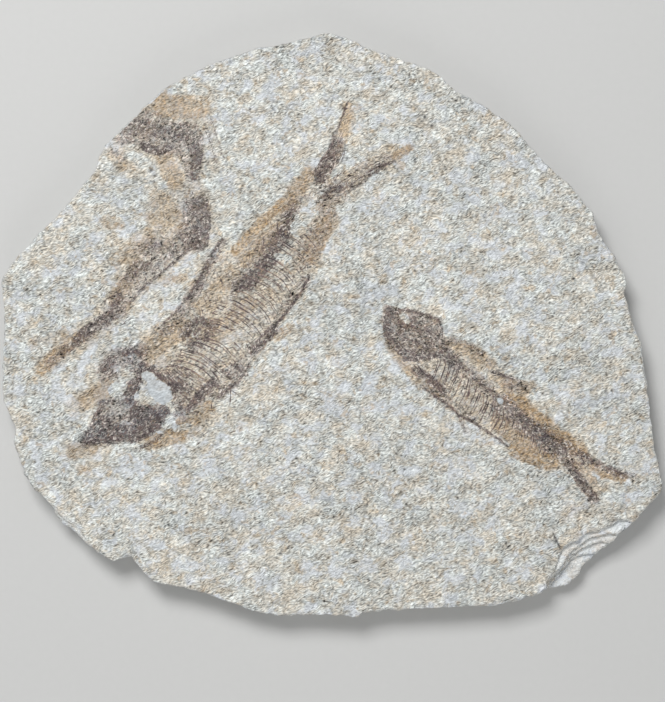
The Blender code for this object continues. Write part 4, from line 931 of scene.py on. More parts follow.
def split_face(edge, stone):
    """The face within the rim's last ring, sunk in a pocket under each fish: (points, triangles)."""
    x, y = marked_grid(edge.min(0), edge.max(0))
    open_face = within_ring(x, y, edge, 0.5 * FACE_SPACING) & (depth_in_fishes(x, y) < 1.3)
    hidden_x, hidden_y = loose_grid(edge.min(0), edge.max(0), POCKET_SPACING, 67)
    hidden = depth_in_fishes(hidden_x, hidden_y) > 1.9
    inner = zip(np.append(x[open_face], hidden_x[hidden]), np.append(y[open_face], hidden_y[hidden]))
    face, triangles = triangulated(edge[:, :2], inner)
    x, y = face.T
    level = stone_height(x, y, stone) - POCKET_DEPTH * smooth((depth_in_fishes(x, y) - 0.05) / 1.1)
    level[: len(edge)] = edge[:, 2]
    return np.column_stack([face, level]), triangles


def flat_back(edge):
    """The back within the rim's first ring, with shallow hollows: (points, triangles)."""
    x, y = loose_grid(edge.min(0), edge.max(0), BACK_SPACING, 71)
    inner = within_ring(x, y, edge, 1.2)
    back, triangles = triangulated(edge[:, :2], zip(x[inner], y[inner]))
    x, y = back.T
    hollow = BACK_HOLLOW * np.clip(wander(x / 7, y / 6, 73) + 0.7 * wander(x / 3.1, y / 3, 79), 0, 1)
    hollow[: len(edge)] = 0.0
    return np.column_stack([back, hollow]), triangles


def build_slab(stone, material):
    """The limestone with its split face, broken rim and flat back, in one closed mesh."""
    rings, steps = rim_rings(stone)
    face, face_triangles = split_face(rings[-1], stone)
    back, back_triangles = flat_back(rings[0])
    starts = [len(face) + RIM_STEPS * number for number in range(len(rings) - 1)] + [0]
    faces = [tuple(triangle) for triangle in face_triangles]
    for low, high in zip(starts, starts[1:]):
        for i in range(RIM_STEPS):
            j = (i + 1) % RIM_STEPS
            faces += [(low + i, low + j, high + j), (low + i, high + j, high + i)]
    points = np.concatenate([face, *rings[:-1], back[RIM_STEPS:]])
    shift = starts[-2]  # the back's own points follow the last ring that isn't the face's edge
    under = [starts[0] + i if i < RIM_STEPS else shift + i for i in range(len(back))]
    faces += [(under[a], under[c], under[b]) for a, b, c in back_triangles]

    marks = stains_and_painted_light(points[:, 0], points[:, 1])
    for values in marks.values():
        values[len(face) :] = 0.0
    marks["rim"] = np.append(np.zeros(len(face)), np.ones(len(points) - len(face)))
    ring = np.arange(RIM_STEPS)
    for last, wide in steps:
        # Painted light: the treads are made paler, against the shade that the layers above cast on them.
        for start in starts[last + 1 - len(TREAD_SHARES) : last + 1]:
            marks["rim"][start + ring] += TREAD_PAINTED_LIGHT * wide
        # Painted shade: a dark line at the foot of each step, where the riser above shades it.
        for start in starts[last : last + 2]:
            marks["dark_marks_and_shade"][start + ring] = CREASE_SHADE * wide
    return place_points(points, faces, "limestone_slab", marks, material)


# ----------------------------------------------------------------------------------------- form of each fish
def film_grid(outline, spacing):
    """A fine grid over a fish that passes its outline a little: (points, triangles, border loops, depths)."""
    xs, ys = zip(*outline)
    low, high = (min(xs) - 1.2, min(ys) - 1.2), (max(xs) + 1.2, max(ys) + 1.2)
    x, y = loose_lattice(low, high, spacing, 0.15, 0.8, 83)
    triangles = lattice_triangles(*x.shape)
    x, y = x.ravel(), y.ravel()
    depth = depth_in_loop(x, y, outline, FISH_REACH)
    triangles = triangles[(depth[triangles] > -FILM_REACH).all(1)]
    while True:
        border = border_steps(triangles)
        pinched = [point for point, times in Counter(a for a, _ in border).items() if times > 1]
        if not pinched:
            break
        triangles = triangles[~np.isin(triangles, pinched).any(1)]
    used = np.unique(triangles)
    number = np.full(x.size, -1)
    number[used] = np.arange(len(used))
    loops = [[int(number[i]) for i in loop] for loop in traced(border)]
    return np.column_stack([x[used], y[used]]), number[triangles], loops, depth[used]


def film_level(fish, x, y, depth, marks, stone, fossil):
    """Height of a film over its fish: the stone's, and bone that stands up where pigments are strong."""
    bone = np.clip(0.35 * marks["tan"] + 0.6 * marks["brown"] + 0.6 * marks["dark"], 0, 1)
    rough = wander(x / 0.75, y / 0.75, 89) + 0.8 * np.abs(wander(x / 0.45, y / 0.45, 97)) - 0.3
    ridges = 1 - 2 * np.abs(wander(x / 1.4, y / 1.4, 101))
    relief = fish["swell"] * fossil.relief * (0.25 + bone * (0.55 + 0.28 * rough + 0.22 * ridges))
    relief = relief + 0.16 * marks["pale"] * fossil.relief
    for radius, height, point in fish["lumps"]:
        relief = relief + height * fossil.relief * smooth(1 - distance_to_point(x, y, point) / radius)
    tucked = 0.5 * np.clip(-depth, 0, 0.6) / FILM_REACH  # past its outline the film dips into the stone
    return stone_height(x, y, stone) + FILM_LIFT + relief * smooth((depth + 0.05) / 1.6) - tucked


def build_film(name, stone, fossil, material):
    """A fish's thin film of bone and stained stone, closed underneath."""
    places, triangles, loops, depth = film_grid(OUTLINES[name], FISHES[name]["spacing"])
    x, y = places.T
    marks = stains_and_painted_light(x, y)
    points = [np.column_stack([x, y, film_level(FISHES[name], x, y, depth, marks, stone, fossil)])]
    faces = [tuple(triangle) for triangle in triangles]
    source = [np.arange(len(x))]  # the upper point that each point takes its pigments from
    start = len(x)
    for loop in loops:
        ring = places[loop]
        area = np.sum(ring[:, 0] * np.roll(ring[:, 1], -1) - ring[:, 1] * np.roll(ring[:, 0], -1))
        if area < 0:
            raise RuntimeError(f"{name}: its film has a hole")
        points.append(np.column_stack([ring, np.full(len(loop), FILM_UNDERSIDE)]))
        source.append(np.array(loop))
        for i in range(len(loop)):
            j = (i + 1) % len(loop)
            faces += [(loop[j], loop[i], start + i), (loop[j], start + i, start + j)]
        _, caps = triangulated(ring, [])
        faces += [(start + a, start + c, start + b) for a, b, c in caps]
        start += len(loop)
    source = np.concatenate(source)
    marks = {key: values[source] for key, values in marks.items()}
    return place_points(np.concatenate(points), faces, f"{name}_film", marks, material)


# ---------------------------------------------------------------------------------------------- node writing
class Socket:
    """One output of a node. Arithmetic on it adds Math nodes to the same tree."""

    def __init__(self, tree, output):
        self.tree = tree
        self.output = output

    def other(self, name):
        """Another output of the same node."""
        return Socket(self.tree, self.output.node.outputs[name])

    def __add__(self, value):
        return self.tree.math("ADD", self, value)

    __radd__ = __add__

    def __sub__(self, value):
        return self.tree.math("SUBTRACT", self, value)

    def __rsub__(self, value):
        return self.tree.math("SUBTRACT", value, self)

    def __mul__(self, value):
        return self.tree.math("MULTIPLY", self, value)

    __rmul__ = __mul__

    def __truediv__(self, value):
        return self.tree.math("DIVIDE", self, value)

    def __pow__(self, value):
        return self.tree.math("POWER", self, value)

    def away_from(self, value):
        """How far it is from a value, either way."""
        return self.tree.math("ABSOLUTE", self - value)

    def swing(self, reach):
        """How far it is from 0.5, times a reach: noise turned into a number about 0."""
        return (self - 0.5) * reach

    def clamped(self):
        return self.tree.math("ADD", self, 0.0, clamp=True)

    def floored(self):
        return self.tree.math("FLOOR", self)

    def between(self, low, high):
        """A smooth ramp from 0 at low to 1 at high."""
        settings = {"interpolation_type": "SMOOTHSTEP"}
        return self.tree.add("ShaderNodeMapRange", settings, {0: self, 1: low, 2: high})

    def scaled(self, value):
        return self.tree.vector("SCALE", self, Scale=value)

    def plus(self, value):
        return self.tree.vector("ADD", self, value)

    def minus(self, value):
        return self.tree.vector("SUBTRACT", self, value)


class Tree:
    """A node tree that nodes are added to by type, settings and socket values."""

    def __init__(self, node_tree):
        self.nodes = node_tree.nodes
        self.links = node_tree.links

    def add(self, kind, settings=(), values=(), output=0):
        """A new node. Its settings are made first, and then its sockets take values or links."""
        node = self.nodes.new(kind)
        for key, value in dict(settings).items():
            setattr(node, key, value)
        for key, value in dict(values).items():
            if isinstance(value, Socket):
                self.links.new(value.output, node.inputs[key])
            elif value is not None:
                node.inputs[key].default_value = value
        return Socket(self, node.outputs[output] if node.outputs else None)

    def math(self, operation, *values, clamp=False):
        return self.add("ShaderNodeMath", {"operation": operation, "use_clamp": clamp}, enumerate(values))

    def vector(self, operation, *values, **named):
        sockets = {**dict(enumerate(values)), **named}
        return self.add("ShaderNodeVectorMath", {"operation": operation}, sockets)

    def upright(self, height):
        """A vector along Z."""
        return self.add("ShaderNodeCombineXYZ", {}, {2: height})

    def millimetres(self):
        """Each place in its object's own frame, in millimetres."""
        return self.add("ShaderNodeTexCoord", {}, {}, "Object").scaled(1000.0)

    def noise(self, place, scale, detail=2.0, roughness=0.5, distortion=0.0):
        """Fractal noise, about 0.5 in its middle."""
        sockets = {"Vector": place, "Scale": scale, "Detail": detail, "Roughness": roughness}
        return self.add("ShaderNodeTexNoise", {}, {**sockets, "Distortion": distortion})

    def sway(self, place, scale, detail, reach):
        """A vector that swings smoothly about nothing."""
        return self.noise(place, scale, detail).other("Color").minus((0.5, 0.5, 0.5)).scaled(reach)

    def streaks(self, place, angle, squeeze):
        """Places turned and squeezed, so that noise over them runs in streaks at an angle."""
        turned = self.add("ShaderNodeMapping", {}, {"Vector": place, "Rotation": (0, 0, -angle)})
        return self.vector("MULTIPLY", turned, (squeeze, 1.0, 1.0))

    def random(self, low, high, seed, number=None):
        """A random value for each element, or for each number given."""
        sockets = {2: low, 3: high, "ID": number, "Seed": seed}
        return self.add("FunctionNodeRandomValue", {"data_type": "FLOAT"}, sockets, 1)

    def layered(self, colour, layers):
        """Colours laid one over another, each by its share."""
        settings = {"data_type": "RGBA", "blend_type": "MIX"}
        for share, over in layers:
            colour = self.add("ShaderNodeMix", settings, {0: share, 6: colour, 7: (*over, 1.0)}, 2)
        return colour

    def attribute(self, name):
        """A number that the mesh holds at its points, in a material."""
        return self.add("ShaderNodeAttribute", {"attribute_name": name}, {}, "Fac")

    def held(self, name):
        """A number that the mesh holds at its points, in Geometry Nodes."""
        return self.add("GeometryNodeInputNamedAttribute", {"data_type": "FLOAT"}, {"Name": name})


# ------------------------------------------------------------------------------------------------- materials
def tone(red, green, blue):
    """A colour from 0-255 screen values to the linear values that Blender keeps."""
    values = [value / 255 for value in (red, green, blue)]
    return tuple(v / 12.92 if v <= 0.04045 else ((v + 0.055) / 1.055) ** 2.4 for v in values)


def new_material(name):
    """A material and its empty tree."""
    material = bpy.data.materials.new(name)
    material.use_nodes = True
    material.node_tree.nodes.clear()
    return material, Tree(material.node_tree)


def finish_material(tree, colour, shade, roughness, specular, bump=None):
    """Ends a material's tree with a colour, how light it is, and a bump: (strength, depth, height)."""
    sockets = {"Base Color": colour.scaled(shade), "Roughness": roughness, "Specular IOR Level": specular}
    if bump:
        strength, depth, height = bump
        values = {"Strength": strength, "Distance": depth, "Height": height}
        sockets["Normal"] = tree.add("ShaderNodeBump", {}, values)
    tree.add("ShaderNodeOutputMaterial", {}, {"Surface": tree.add("ShaderNodeBsdfPrincipled", {}, sockets)})


def stone_finish(tree, place, stone):
    """The limestone's look: (colour, shade, height of its grain)."""
    bent = place.plus(tree.sway(place, 0.35, 1.0, 1.6))
    streaked = tree.streaks(bent, STREAK_ANGLE, 0.68)
    clouds = tree.noise(bent, 0.16, 3.0, 0.55)
    patches = tree.noise(streaked, 0.34, 3.0, 0.6)
    mottle = tree.noise(streaked, 0.85, 2.0, 0.6)
    pits = tree.noise(streaked, 1.25, 2.0, 0.65, 0.4)
    grained = tree.vector("MULTIPLY", streaked, (0.42, 1.0, 1.0))
    grit = tree.noise(grained, 1.9, 2.0, 0.7)
    fine = tree.noise(grained, 3.4, 0.0, 0.5)
    rare = tree.noise(bent.plus((31.0, 17.0, 5.0)), 0.36, 2.0, 0.6)
    cool = tree.noise(bent.plus((11.0, 71.0, 3.0)), 0.21, 2.0, 0.5)
    drifts = tree.noise(bent.plus((5.0, 23.0, 9.0)), 0.045, 2.0, 0.5)
    strata = tree.vector("MULTIPLY", bent, (0.10, 0.10, 2.6))
    bands = tree.noise(strata, 1.0, 3.0, 0.65)
    rim = tree.attribute("rim")

    cream = clouds.swing(2.0) - patches.swing(2.2) - pits.swing(0.7) - mottle.swing(1.4) + 0.38
    smooth_stone = cool.between(0.44, 0.62) * patches.between(0.40, 0.58)
    spots = (rare + pits.swing(0.18)).between(0.575, 0.72)
    specks = grit.between(0.57, 0.72) * patches.between(0.58, 0.40)
    seams = bands.between(0.56, 0.68) * rim
    colour = tree.layered((*stone.pale_colour, 1.0), (
        (cream.clamped(), stone.cream_colour),
        (smooth_stone * 0.8, stone.cool_colour),
        (spots * 0.55, stone.ochre_colour),
        (specks * 0.42, stone.grey_colour),
        # darker at the dots and along the cracks, and painted shade at the foot of each step
        (tree.attribute("dark_marks_and_shade") * 0.72, stone.dark_marks_and_shade_colour),
        (seams * 0.40, stone.cream_colour),
        (rim * 0.22, stone.cool_colour),
    ))
    shade = grit.swing(0.72) + fine.swing(1.8) + pits.swing(0.6) + mottle.swing(0.5)
    shade = shade * (1.1 - smooth_stone * 0.5) + 1.0
    shade = shade + patches.swing(0.85) + clouds.swing(0.65) - drifts.swing(0.3)
    # The rim is paler by its bands and by 0.16: partly the paler colour of fresh-broken stone, partly painted
    # light that lifts its sides and treads out of their shade. The treads, whose rim values pass 1, are
    # lifted most.
    shade = shade - (shade - 1.0) * rim * 0.35 + (bands.swing(0.5) + 0.16) * rim
    height = mottle.away_from(0.5) * 1.8 + pits.away_from(0.5) * 1.4
    height = height + grit.swing(0.6) + fine.swing(0.2) + mottle.swing(1.7)
    return colour, shade, height


def broken(mask, speckle, soft, reach):
    """A mask broken up by speckles, which cover as large a share of the stone as the mask says."""
    return (mask + speckle.swing(reach) * mask.between(0.0, 0.25)).between(0.5 - soft, 0.5 + soft)


def fossil_stone(name, stone, fossil, lie):
    """Limestone that carries the fishes' pigments where its points say so, with fibres that lie one way."""
    material, tree = new_material(name)
    place = tree.millimetres()
    colour, shade, height = stone_finish(tree, place, stone)
    along = tree.streaks(place.plus(tree.sway(place, 0.30, 2.0, 5.0)), lie, 0.34)
    fibres = tree.noise(along, 1.7, 2.0, 0.7)
    speckle = tree.noise(place, 1.7, 1.0, 0.7)
    dashes = tree.noise(place.plus((7.0, 3.0, 1.0)), 0.9, 2.0, 0.75)
    threads = fibres.away_from(0.5).between(0.035, 0.0)
    clumps = tree.noise(place.plus((13.0, 4.0, 6.0)), 0.40, 2.0, 0.6)
    knots = tree.noise(place.plus((4.0, 14.0, 2.0)), 0.55, 1.0, 0.5)
    blotch = tree.noise(place.plus((3.0, 9.0, 2.0)), 0.6, 2.0, 0.6)
    tan, ochre, brown, dark, pale = (tree.attribute(key) for key in ("tan", "ochre", "brown", "dark", "pale"))

    bare = 1.0 - (pale + speckle.swing(0.5) + dashes.swing(1.0) * (1.0 - pale)).between(0.36, 0.62)
    brown = brown * (0.94 + clumps.swing(1.6))
    dark = dark * (0.94 + knots.swing(1.5))
    tan_share = (tan * (0.62 + blotch.swing(1.5) + dashes.swing(1.3))).clamped() * bare
    ochre_share = (ochre * (0.70 + blotch.swing(1.2) + speckle.swing(1.2))).clamped() * bare
    brown_share = broken(brown * 0.80, fibres * 0.5 + dashes * 0.5, 0.36, 3.8) * bare
    dark_share = broken(dark * 0.72, fibres * 0.5 + speckle * 0.5, 0.34, 4.6) * bare
    dark_share = (dark_share + threads * (brown * 0.5 + dark * 0.5 - 0.12).clamped() * 0.6).clamped()
    smoothed = pale.between(0.75, 0.98)
    organic = (tan * 0.4 + brown + dark).clamped() * bare
    glints = tree.noise(along.plus((1.0, 5.0, 9.0)), 1.6, 1.0, 0.7).between(0.54, 0.63) * organic
    colour = tree.layered(colour, (
        (tan_share * 0.80, fossil.tan_colour),
        (ochre_share * 0.90, fossil.ochre_colour),
        (brown_share * 0.56, fossil.brown_colour),
        (dark_share * 0.80, fossil.dark_colour),
        (smoothed * 0.75, fossil.chip_colour),
        (glints * 0.86, fossil.glint_colour),
    ))
    shade = shade + (dashes.swing(2.0) + fibres.swing(3.2) + speckle.swing(1.9)) * organic
    shade = shade - (shade - 1.0) * smoothed * 0.5
    relief = height * (1.0 - smoothed * 0.85) + (speckle.swing(1.2) + fibres.swing(2.2)) * organic
    finish_material(tree, colour, shade, 0.92, 0.22, (stone.grain_strength, 0.0005, relief))
    return material


def bone_finish(name, fossil):
    """Dark fossil bone that pales to brown and tan in places."""
    material, tree = new_material(name)
    place = tree.millimetres()
    worn = tree.noise(place, 0.55, 3.0, 0.7)
    grain = tree.noise(place, 2.8, 2.0, 0.7)
    colour = tree.layered((*fossil.dark_colour, 1.0), (
        (worn.between(0.40, 0.60), fossil.brown_colour),
        (worn.between(0.54, 0.72) * 0.75, fossil.tan_colour),
    ))
    finish_material(tree, colour, 1.0 + grain.swing(0.7), 0.78, 0.3, (0.5, 0.00015, grain))
    return material


def floor_finish(name, colour):
    """A plain pale floor with a faint, even tooth."""
    material, tree = new_material(name)
    tooth = tree.noise(tree.millimetres(), 0.5, 2.0, 0.5)
    plain = tree.vector("ADD", tuple(colour))
    finish_material(tree, plain, 1.0 + tooth.swing(0.03), 0.9, 0.5)
    return material


# -------------------------------------------------------------------------------------- Geometry Nodes trees
GROUND_INPUTS = {"Ground": "NodeSocketObject", "Stone": "NodeSocketObject"}
LAID_INPUTS = {"Seed": 1, **GROUND_INPUTS, "Material": "NodeSocketMaterial"}


def new_geometry_tree(name, inputs):
    """A Geometry Nodes group's tree and its named inputs, each given as its default or its type of socket."""
    group = bpy.data.node_groups.new(name, "GeometryNodeTree")
    group.interface.new_socket("Geometry", in_out="INPUT", socket_type="NodeSocketGeometry")
    for label, default in inputs.items():
        kind = {int: "NodeSocketInt", float: "NodeSocketFloat"}.get(type(default), default)
        socket = group.interface.new_socket(label, in_out="INPUT", socket_type=kind)
        if kind != default:
            socket.default_value = default
    group.interface.new_socket("Geometry", in_out="OUTPUT", socket_type="NodeSocketGeometry")
    tree = Tree(group)
    start = tree.add("NodeGroupInput")
    return tree, {label: start.other(label) for label in ("Geometry", *inputs)}


def finish_geometry_tree(tree, geometry, material):
    """Ends a tree with real geometry that wears its material."""
    real = tree.add("GeometryNodeRealizeInstances", {}, {"Geometry": geometry})
    worn = tree.add("GeometryNodeSetMaterial", {}, {"Geometry": real, "Material": material})
    tree.add("NodeGroupOutput", {}, {0: worn})


def laid_on_ground(tree, curves, given, wave):
    """Curves let down on the ground, then sunk into it by an amount that comes and goes along them."""
    surfaces = tree.add("GeometryNodeJoinGeometry")
    for label in ("Ground", "Stone"):
        sockets = {"Object": given[label]}
        surface = tree.add("GeometryNodeObjectInfo", {"transform_space": "RELATIVE"}, sockets, "Geometry")
        tree.links.new(surface.output, surfaces.output.node.inputs[0])
    here = tree.add("GeometryNodeInputPosition")
    ray = {"Target Geometry": surfaces, "Source Position": here.plus((0.0, 0.0, 0.05)), "Ray Length": 0.1,
           "Ray Direction": (0.0, 0.0, -1.0), "Attribute": tree.held("pale")}
    landing = tree.add("GeometryNodeRaycast", {"data_type": "FLOAT"}, ray, "Hit Position")
    hidden = landing.other("Attribute").between(0.15, 0.4) * 0.0011
    dips = tree.noise(here.scaled(430.0).plus(tree.upright(given["Seed"])), 1.0, 1.0)
    drop = tree.upright(dips.swing(wave) - given["Sink"] - hidden)
    return tree.add("GeometryNodeSetPosition", {}, {"Geometry": curves, "Position": landing.plus(drop)})


def swept(tree, curves, thickness, sides):
    """Round bones along curves, thinner towards their tips."""
    along = tree.add("GeometryNodeSplineParameter", {}, {}, "Factor")
    taper = 1.0 - along**2.0 * 0.55 - (1.0 - along) ** 8.0 * 0.5
    uneven = tree.noise(tree.add("GeometryNodeInputPosition").scaled(700.0), 1.0, 1.0)
    taper = taper * (0.72 + uneven.swing(2.4))
    even = tree.add("GeometryNodeSetCurveRadius", {}, {"Curve": curves, "Radius": 1.0})
    sockets = {"Resolution": sides, "Radius": thickness * 0.5}
    profile = tree.add("GeometryNodeCurvePrimitiveCircle", {}, sockets)
    sockets = {"Curve": even, "Profile Curve": profile, "Scale": taper, "Fill Caps": True}
    return tree.add("GeometryNodeCurveToMesh", {}, sockets)


def bone_fan_tree():
    """A fan of fine bones between two guide lines: splines 0, their roots, and 1, their tips."""
    tree, given = new_geometry_tree("bone_fan", {
        "Count": 12, "Steps": 10, "Bow": 0.001, "Jitter": 0.0003, "Thickness": 0.00022, "Sides": 5,
        "Sink": 0.00004, "Wave": 0.0003, **LAID_INPUTS,
    })
    count, steps, seed = given["Count"], given["Steps"], given["Seed"]
    sockets = {"Size X": 1.0, "Size Y": 1.0, "Vertices X": count, "Vertices Y": steps}
    grid = tree.add("GeometryNodeMeshGrid", {}, sockets)
    index = tree.add("GeometryNodeInputIndex")
    rank = (index / steps + 0.0001).floored()
    along = (index - rank * steps) / (steps - 1.0)
    share = (rank / (count - 1.0) + tree.random(-0.5, 0.5, seed + 1.0, rank) / count).clamped()

    def guide(number):
        sockets = {"Curves": given["Geometry"], "Factor": share, "Curve Index": number}
        return tree.add("GeometryNodeSampleCurve", {"mode": "FACTOR"}, sockets, "Position")

    root = guide(0)
    reach = guide(1).minus(root)
    length = along * tree.random(0.72, 1.0, seed + 2.0, rank)
    side = tree.vector("NORMALIZE", tree.vector("CROSS_PRODUCT", (0.0, 0.0, 1.0), reach))
    bow = given["Bow"] + tree.random(-1.0, 1.0, seed + 3.0, rank) * given["Jitter"]
    arch = length * (1.0 - length) * 4.0 * bow
    spot = root.plus(reach.scaled(length)).plus(side.scaled(arch))
    spot = spot.plus(tree.sway(spot.scaled(300.0), 1.0, 2.0, given["Jitter"] * 2.6))
    fan = tree.add("GeometryNodeSetPosition", {}, {"Geometry": grid, "Position": spot})
    ends = tree.add("GeometryNodeInputMeshEdgeVertices")
    first, second = ((end / steps + 0.0001).floored() for end in (ends, ends.other("Vertex Index 2")))
    settings = {"data_type": "FLOAT", "operation": "GREATER_THAN"}
    cross = tree.add("FunctionNodeCompare", settings, {0: first.away_from(second), 1: 0.5})
    lines = tree.add("GeometryNodeDeleteGeometry", {"domain": "EDGE"}, {"Geometry": fan, "Selection": cross})
    curves = tree.add("GeometryNodeMeshToCurve", {}, {"Mesh": lines})
    laid = laid_on_ground(tree, curves, given, given["Wave"])
    finish_geometry_tree(tree, swept(tree, laid, given["Thickness"], given["Sides"]), given["Material"])


def bone_strand_tree():
    """Single bones along guide lines, let down on the ground."""
    tree, given = new_geometry_tree("bone_strand", {
        "Spacing": 0.0006, "Thickness": 0.0003, "Sides": 6, "Sink": 0.00005, "Wave": 0.0002, **LAID_INPUTS,
    })
    sockets = {"Curve": given["Geometry"], "Length": given["Spacing"]}
    even = tree.add("GeometryNodeResampleCurve", {"mode": "LENGTH"}, sockets)
    laid = laid_on_ground(tree, even, given, given["Wave"])
    finish_geometry_tree(tree, swept(tree, laid, given["Thickness"], given["Sides"]), given["Material"])


def backbone_tree():
    """Small rounded blocks in a row along a guide line, each half sunk in the ground."""
    tree, given = new_geometry_tree("backbone", {
        "Count": 30, "Radius": 0.0004, "Sink": 0.0001, **LAID_INPUTS,
    })
    sockets = {"Curve": given["Geometry"], "Count": given["Count"]}
    even = tree.add("GeometryNodeResampleCurve", {"mode": "COUNT"}, sockets)
    laid = laid_on_ground(tree, even, given, 0.00012)
    tangent = {"Vector": tree.add("GeometryNodeInputTangent")}
    turned = tree.add("FunctionNodeAlignRotationToVector", {"axis": "X"}, tangent)
    block = tree.add("GeometryNodeMeshIcoSphere", {}, {"Radius": given["Radius"], "Subdivisions": 2})
    shape = tree.add("ShaderNodeCombineXYZ", {}, {0: 1.35, 1: 0.95, 2: 0.6})
    size = shape.scaled(tree.random(0.6, 1.15, given["Seed"]))
    sockets = {"Points": laid, "Instance": block, "Rotation": turned, "Scale": size}
    finish_geometry_tree(tree, tree.add("GeometryNodeInstanceOnPoints", {}, sockets), given["Material"])


def splinter_tree():
    """Short slivers of bone, scattered where pigments are strong and turned roughly the way the fish lies."""
    tree, given = new_geometry_tree("splinters", {
        "Density": 2.0, "Width": 0.0003, "Length": 0.0009, "Lie": 0.8, "Spread": 0.8, "Seed": 1,
        "Material": "NodeSocketMaterial",
    })
    seed = given["Seed"]
    facing = tree.add("ShaderNodeSeparateXYZ", {}, {0: tree.add("GeometryNodeInputNormal")}, 2)
    share = tree.held("dark") * 0.9 + tree.held("brown") * 0.55 - tree.held("pale") * 2.0 - 0.12
    density = share.clamped() * facing.between(0.5, 0.7) * given["Density"] * 1e6
    sockets = {"Mesh": given["Geometry"], "Density": density, "Seed": seed}
    spots = tree.add("GeometryNodeDistributePointsOnFaces", {"distribute_method": "RANDOM"}, sockets)
    swing = tree.random(-1.0, 1.0, seed + 1.0)
    turn = given["Lie"] + swing * swing.away_from(0.0) * given["Spread"] + tree.random(-0.2, 0.2, seed + 2.0)
    size = tree.random(0.35, 1.0, seed + 3.0)
    length = given["Length"] * size * size * tree.random(0.7, 1.8, seed + 4.0)
    width = given["Width"] * tree.random(0.45, 1.0, seed + 5.0)
    sliver = tree.add("GeometryNodeMeshUVSphere", {}, {"Segments": 4, "Rings": 4, "Radius": 1.0})
    scale = tree.add("ShaderNodeCombineXYZ", {}, {0: length, 1: width * 0.5, 2: width * 0.35})
    sockets = {"Points": spots, "Instance": sliver, "Rotation": tree.upright(turn), "Scale": scale}
    finish_geometry_tree(tree, tree.add("GeometryNodeInstanceOnPoints", {}, sockets), given["Material"])


# ------------------------------------------------------------------------------------------------- the bones
def guide_lines(name, paths):
    """A curve object with one straight-sided spline for each path."""
    curve = bpy.data.curves.new(name, "CURVE")
    curve.dimensions = "3D"
    for path in paths:
        spline = curve.splines.new("POLY")
        spline.points.add(len(path) - 1)
        for point, (x, y) in zip(spline.points, path):
            point.co = (x * MM, y * MM, 0.0, 1.0)
    return linked(name, curve)


def grown(key, guide, values):
    """The plain mesh that a tree makes from a guide, which is then removed."""
    group = bpy.data.node_groups[key]
    modifier = guide.modifiers.new(key, "NODES")
    modifier.node_group = group
    for socket in group.interface.items_tree:
        if socket.in_out == "INPUT" and socket.name in values:
            modifier[socket.identifier] = values[socket.name]
    bpy.context.view_layer.update()
    graph = bpy.context.evaluated_depsgraph_get()
    mesh = bpy.data.meshes.new_from_object(guide.evaluated_get(graph), depsgraph=graph)
    bpy.data.objects.remove(guide)
    if not mesh.polygons:
        raise RuntimeError(f"{key} made nothing")
    return mesh


def joined(name, meshes, material):
    """One object from several meshes that share a material."""
    points, faces, start = [], [], 0
    for mesh in meshes:
        places = np.empty(len(mesh.vertices) * 3)
        mesh.vertices.foreach_get("co", places)
        points.append(places.reshape(-1, 3) / MM)
        faces += [tuple(start + i for i in face.vertices) for face in mesh.polygons]
        start += len(mesh.vertices)
        bpy.data.meshes.remove(mesh)
    return place_points(np.concatenate(points), faces, name, {}, material)


def single_bones(name, bones, first_seed, common, fossil):
    """A mesh for each of a table's single bones."""
    meshes = []
    for order, (thickness, path) in enumerate(bones):
        sizes = {"Thickness": thickness * fossil.line_weight * MM, "Seed": first_seed + order}
        meshes.append(grown("bone_strand", guide_lines(name, (path,)), {**common, **sizes}))
    return meshes


def build_bones(name, film, fossil, material):
    """A fish's ribs, rays, skull bones and backbone, laid on its film."""
    fish = FISHES[name]
    common = {"Ground": film, "Stone": bpy.data.objects["limestone_slab"], "Material": material}
    meshes = []
    for order, (label, count, bow, thickness, jitter, roots, tips) in enumerate(fish["fans"]):
        sizes = {"Count": count, "Bow": bow * MM, "Thickness": thickness * fossil.line_weight * MM,
                 "Jitter": jitter * MM, "Seed": 10 + order, "Sink": 0.03 * MM}
        meshes.append(grown("bone_fan", guide_lines(f"{name}_{label}", (roots, tips)), {**common, **sizes}))
    meshes += single_bones(f"{name}_bone", fish["bones"], 40, common, fossil)
    count, radius, path = fish["backbone"]
    sizes = {"Count": count, "Radius": radius * MM, "Seed": 70}
    meshes.append(grown("backbone", guide_lines(f"{name}_backbone", (path,)), {**common, **sizes}))
    density, width, length = fish["splinters"]
    sizes = {"Density": density, "Width": width * MM, "Length": length * MM, "Lie": math.radians(fish["lie"]),
             "Spread": SPLINTER_SPREAD, "Seed": 80, "Material": material}
    meshes.append(grown("splinters", linked(f"{name}_splinters", film.data), sizes))
    return joined(f"{name}_bones", meshes, material)


def build_loose_bones(fossil, material):
    """The small bones that lie on the stone beside the fishes."""
    slab = bpy.data.objects["limestone_slab"]
    common = {"Ground": slab, "Stone": slab, "Material": material}
    return joined("loose_bones", single_bones("loose_bone", LOOSE_BONES, 90, common, fossil), material)


# ------------------------------------------------------------------------------------------------- the stage
FLOOR_SPAN = 1500  # from the floor's middle to its edges
FLOOR_LEVEL = -0.02
AIM = Vector((0.4, -8.1, 9.5)) * MM  # the point of the face that lights and camera look at
LIGHTS = (  # (name, place in metres, size in metres, share of the main light's power)
    ("main_light", (-0.24, 0.42, 0.77), 0.36, 1.0),
    ("fill_light", (0.10, -0.75, 0.40), 0.7, 0.34),
)
ROOM_COLOUR = (0.98, 0.99, 1.0, 1.0)
SENSOR_WIDTH = 36.0


def build_floor(stage):
    """A plain square floor, just under the slab."""
    corners = [(x * FLOOR_SPAN, y * FLOOR_SPAN, FLOOR_LEVEL) for x, y in ((-1, -1), (1, -1), (1, 1), (-1, 1))]
    finish = floor_finish("floor_card", stage.floor_colour)
    return place_points(corners, [(0, 1, 2, 3)], "floor", {}, finish)


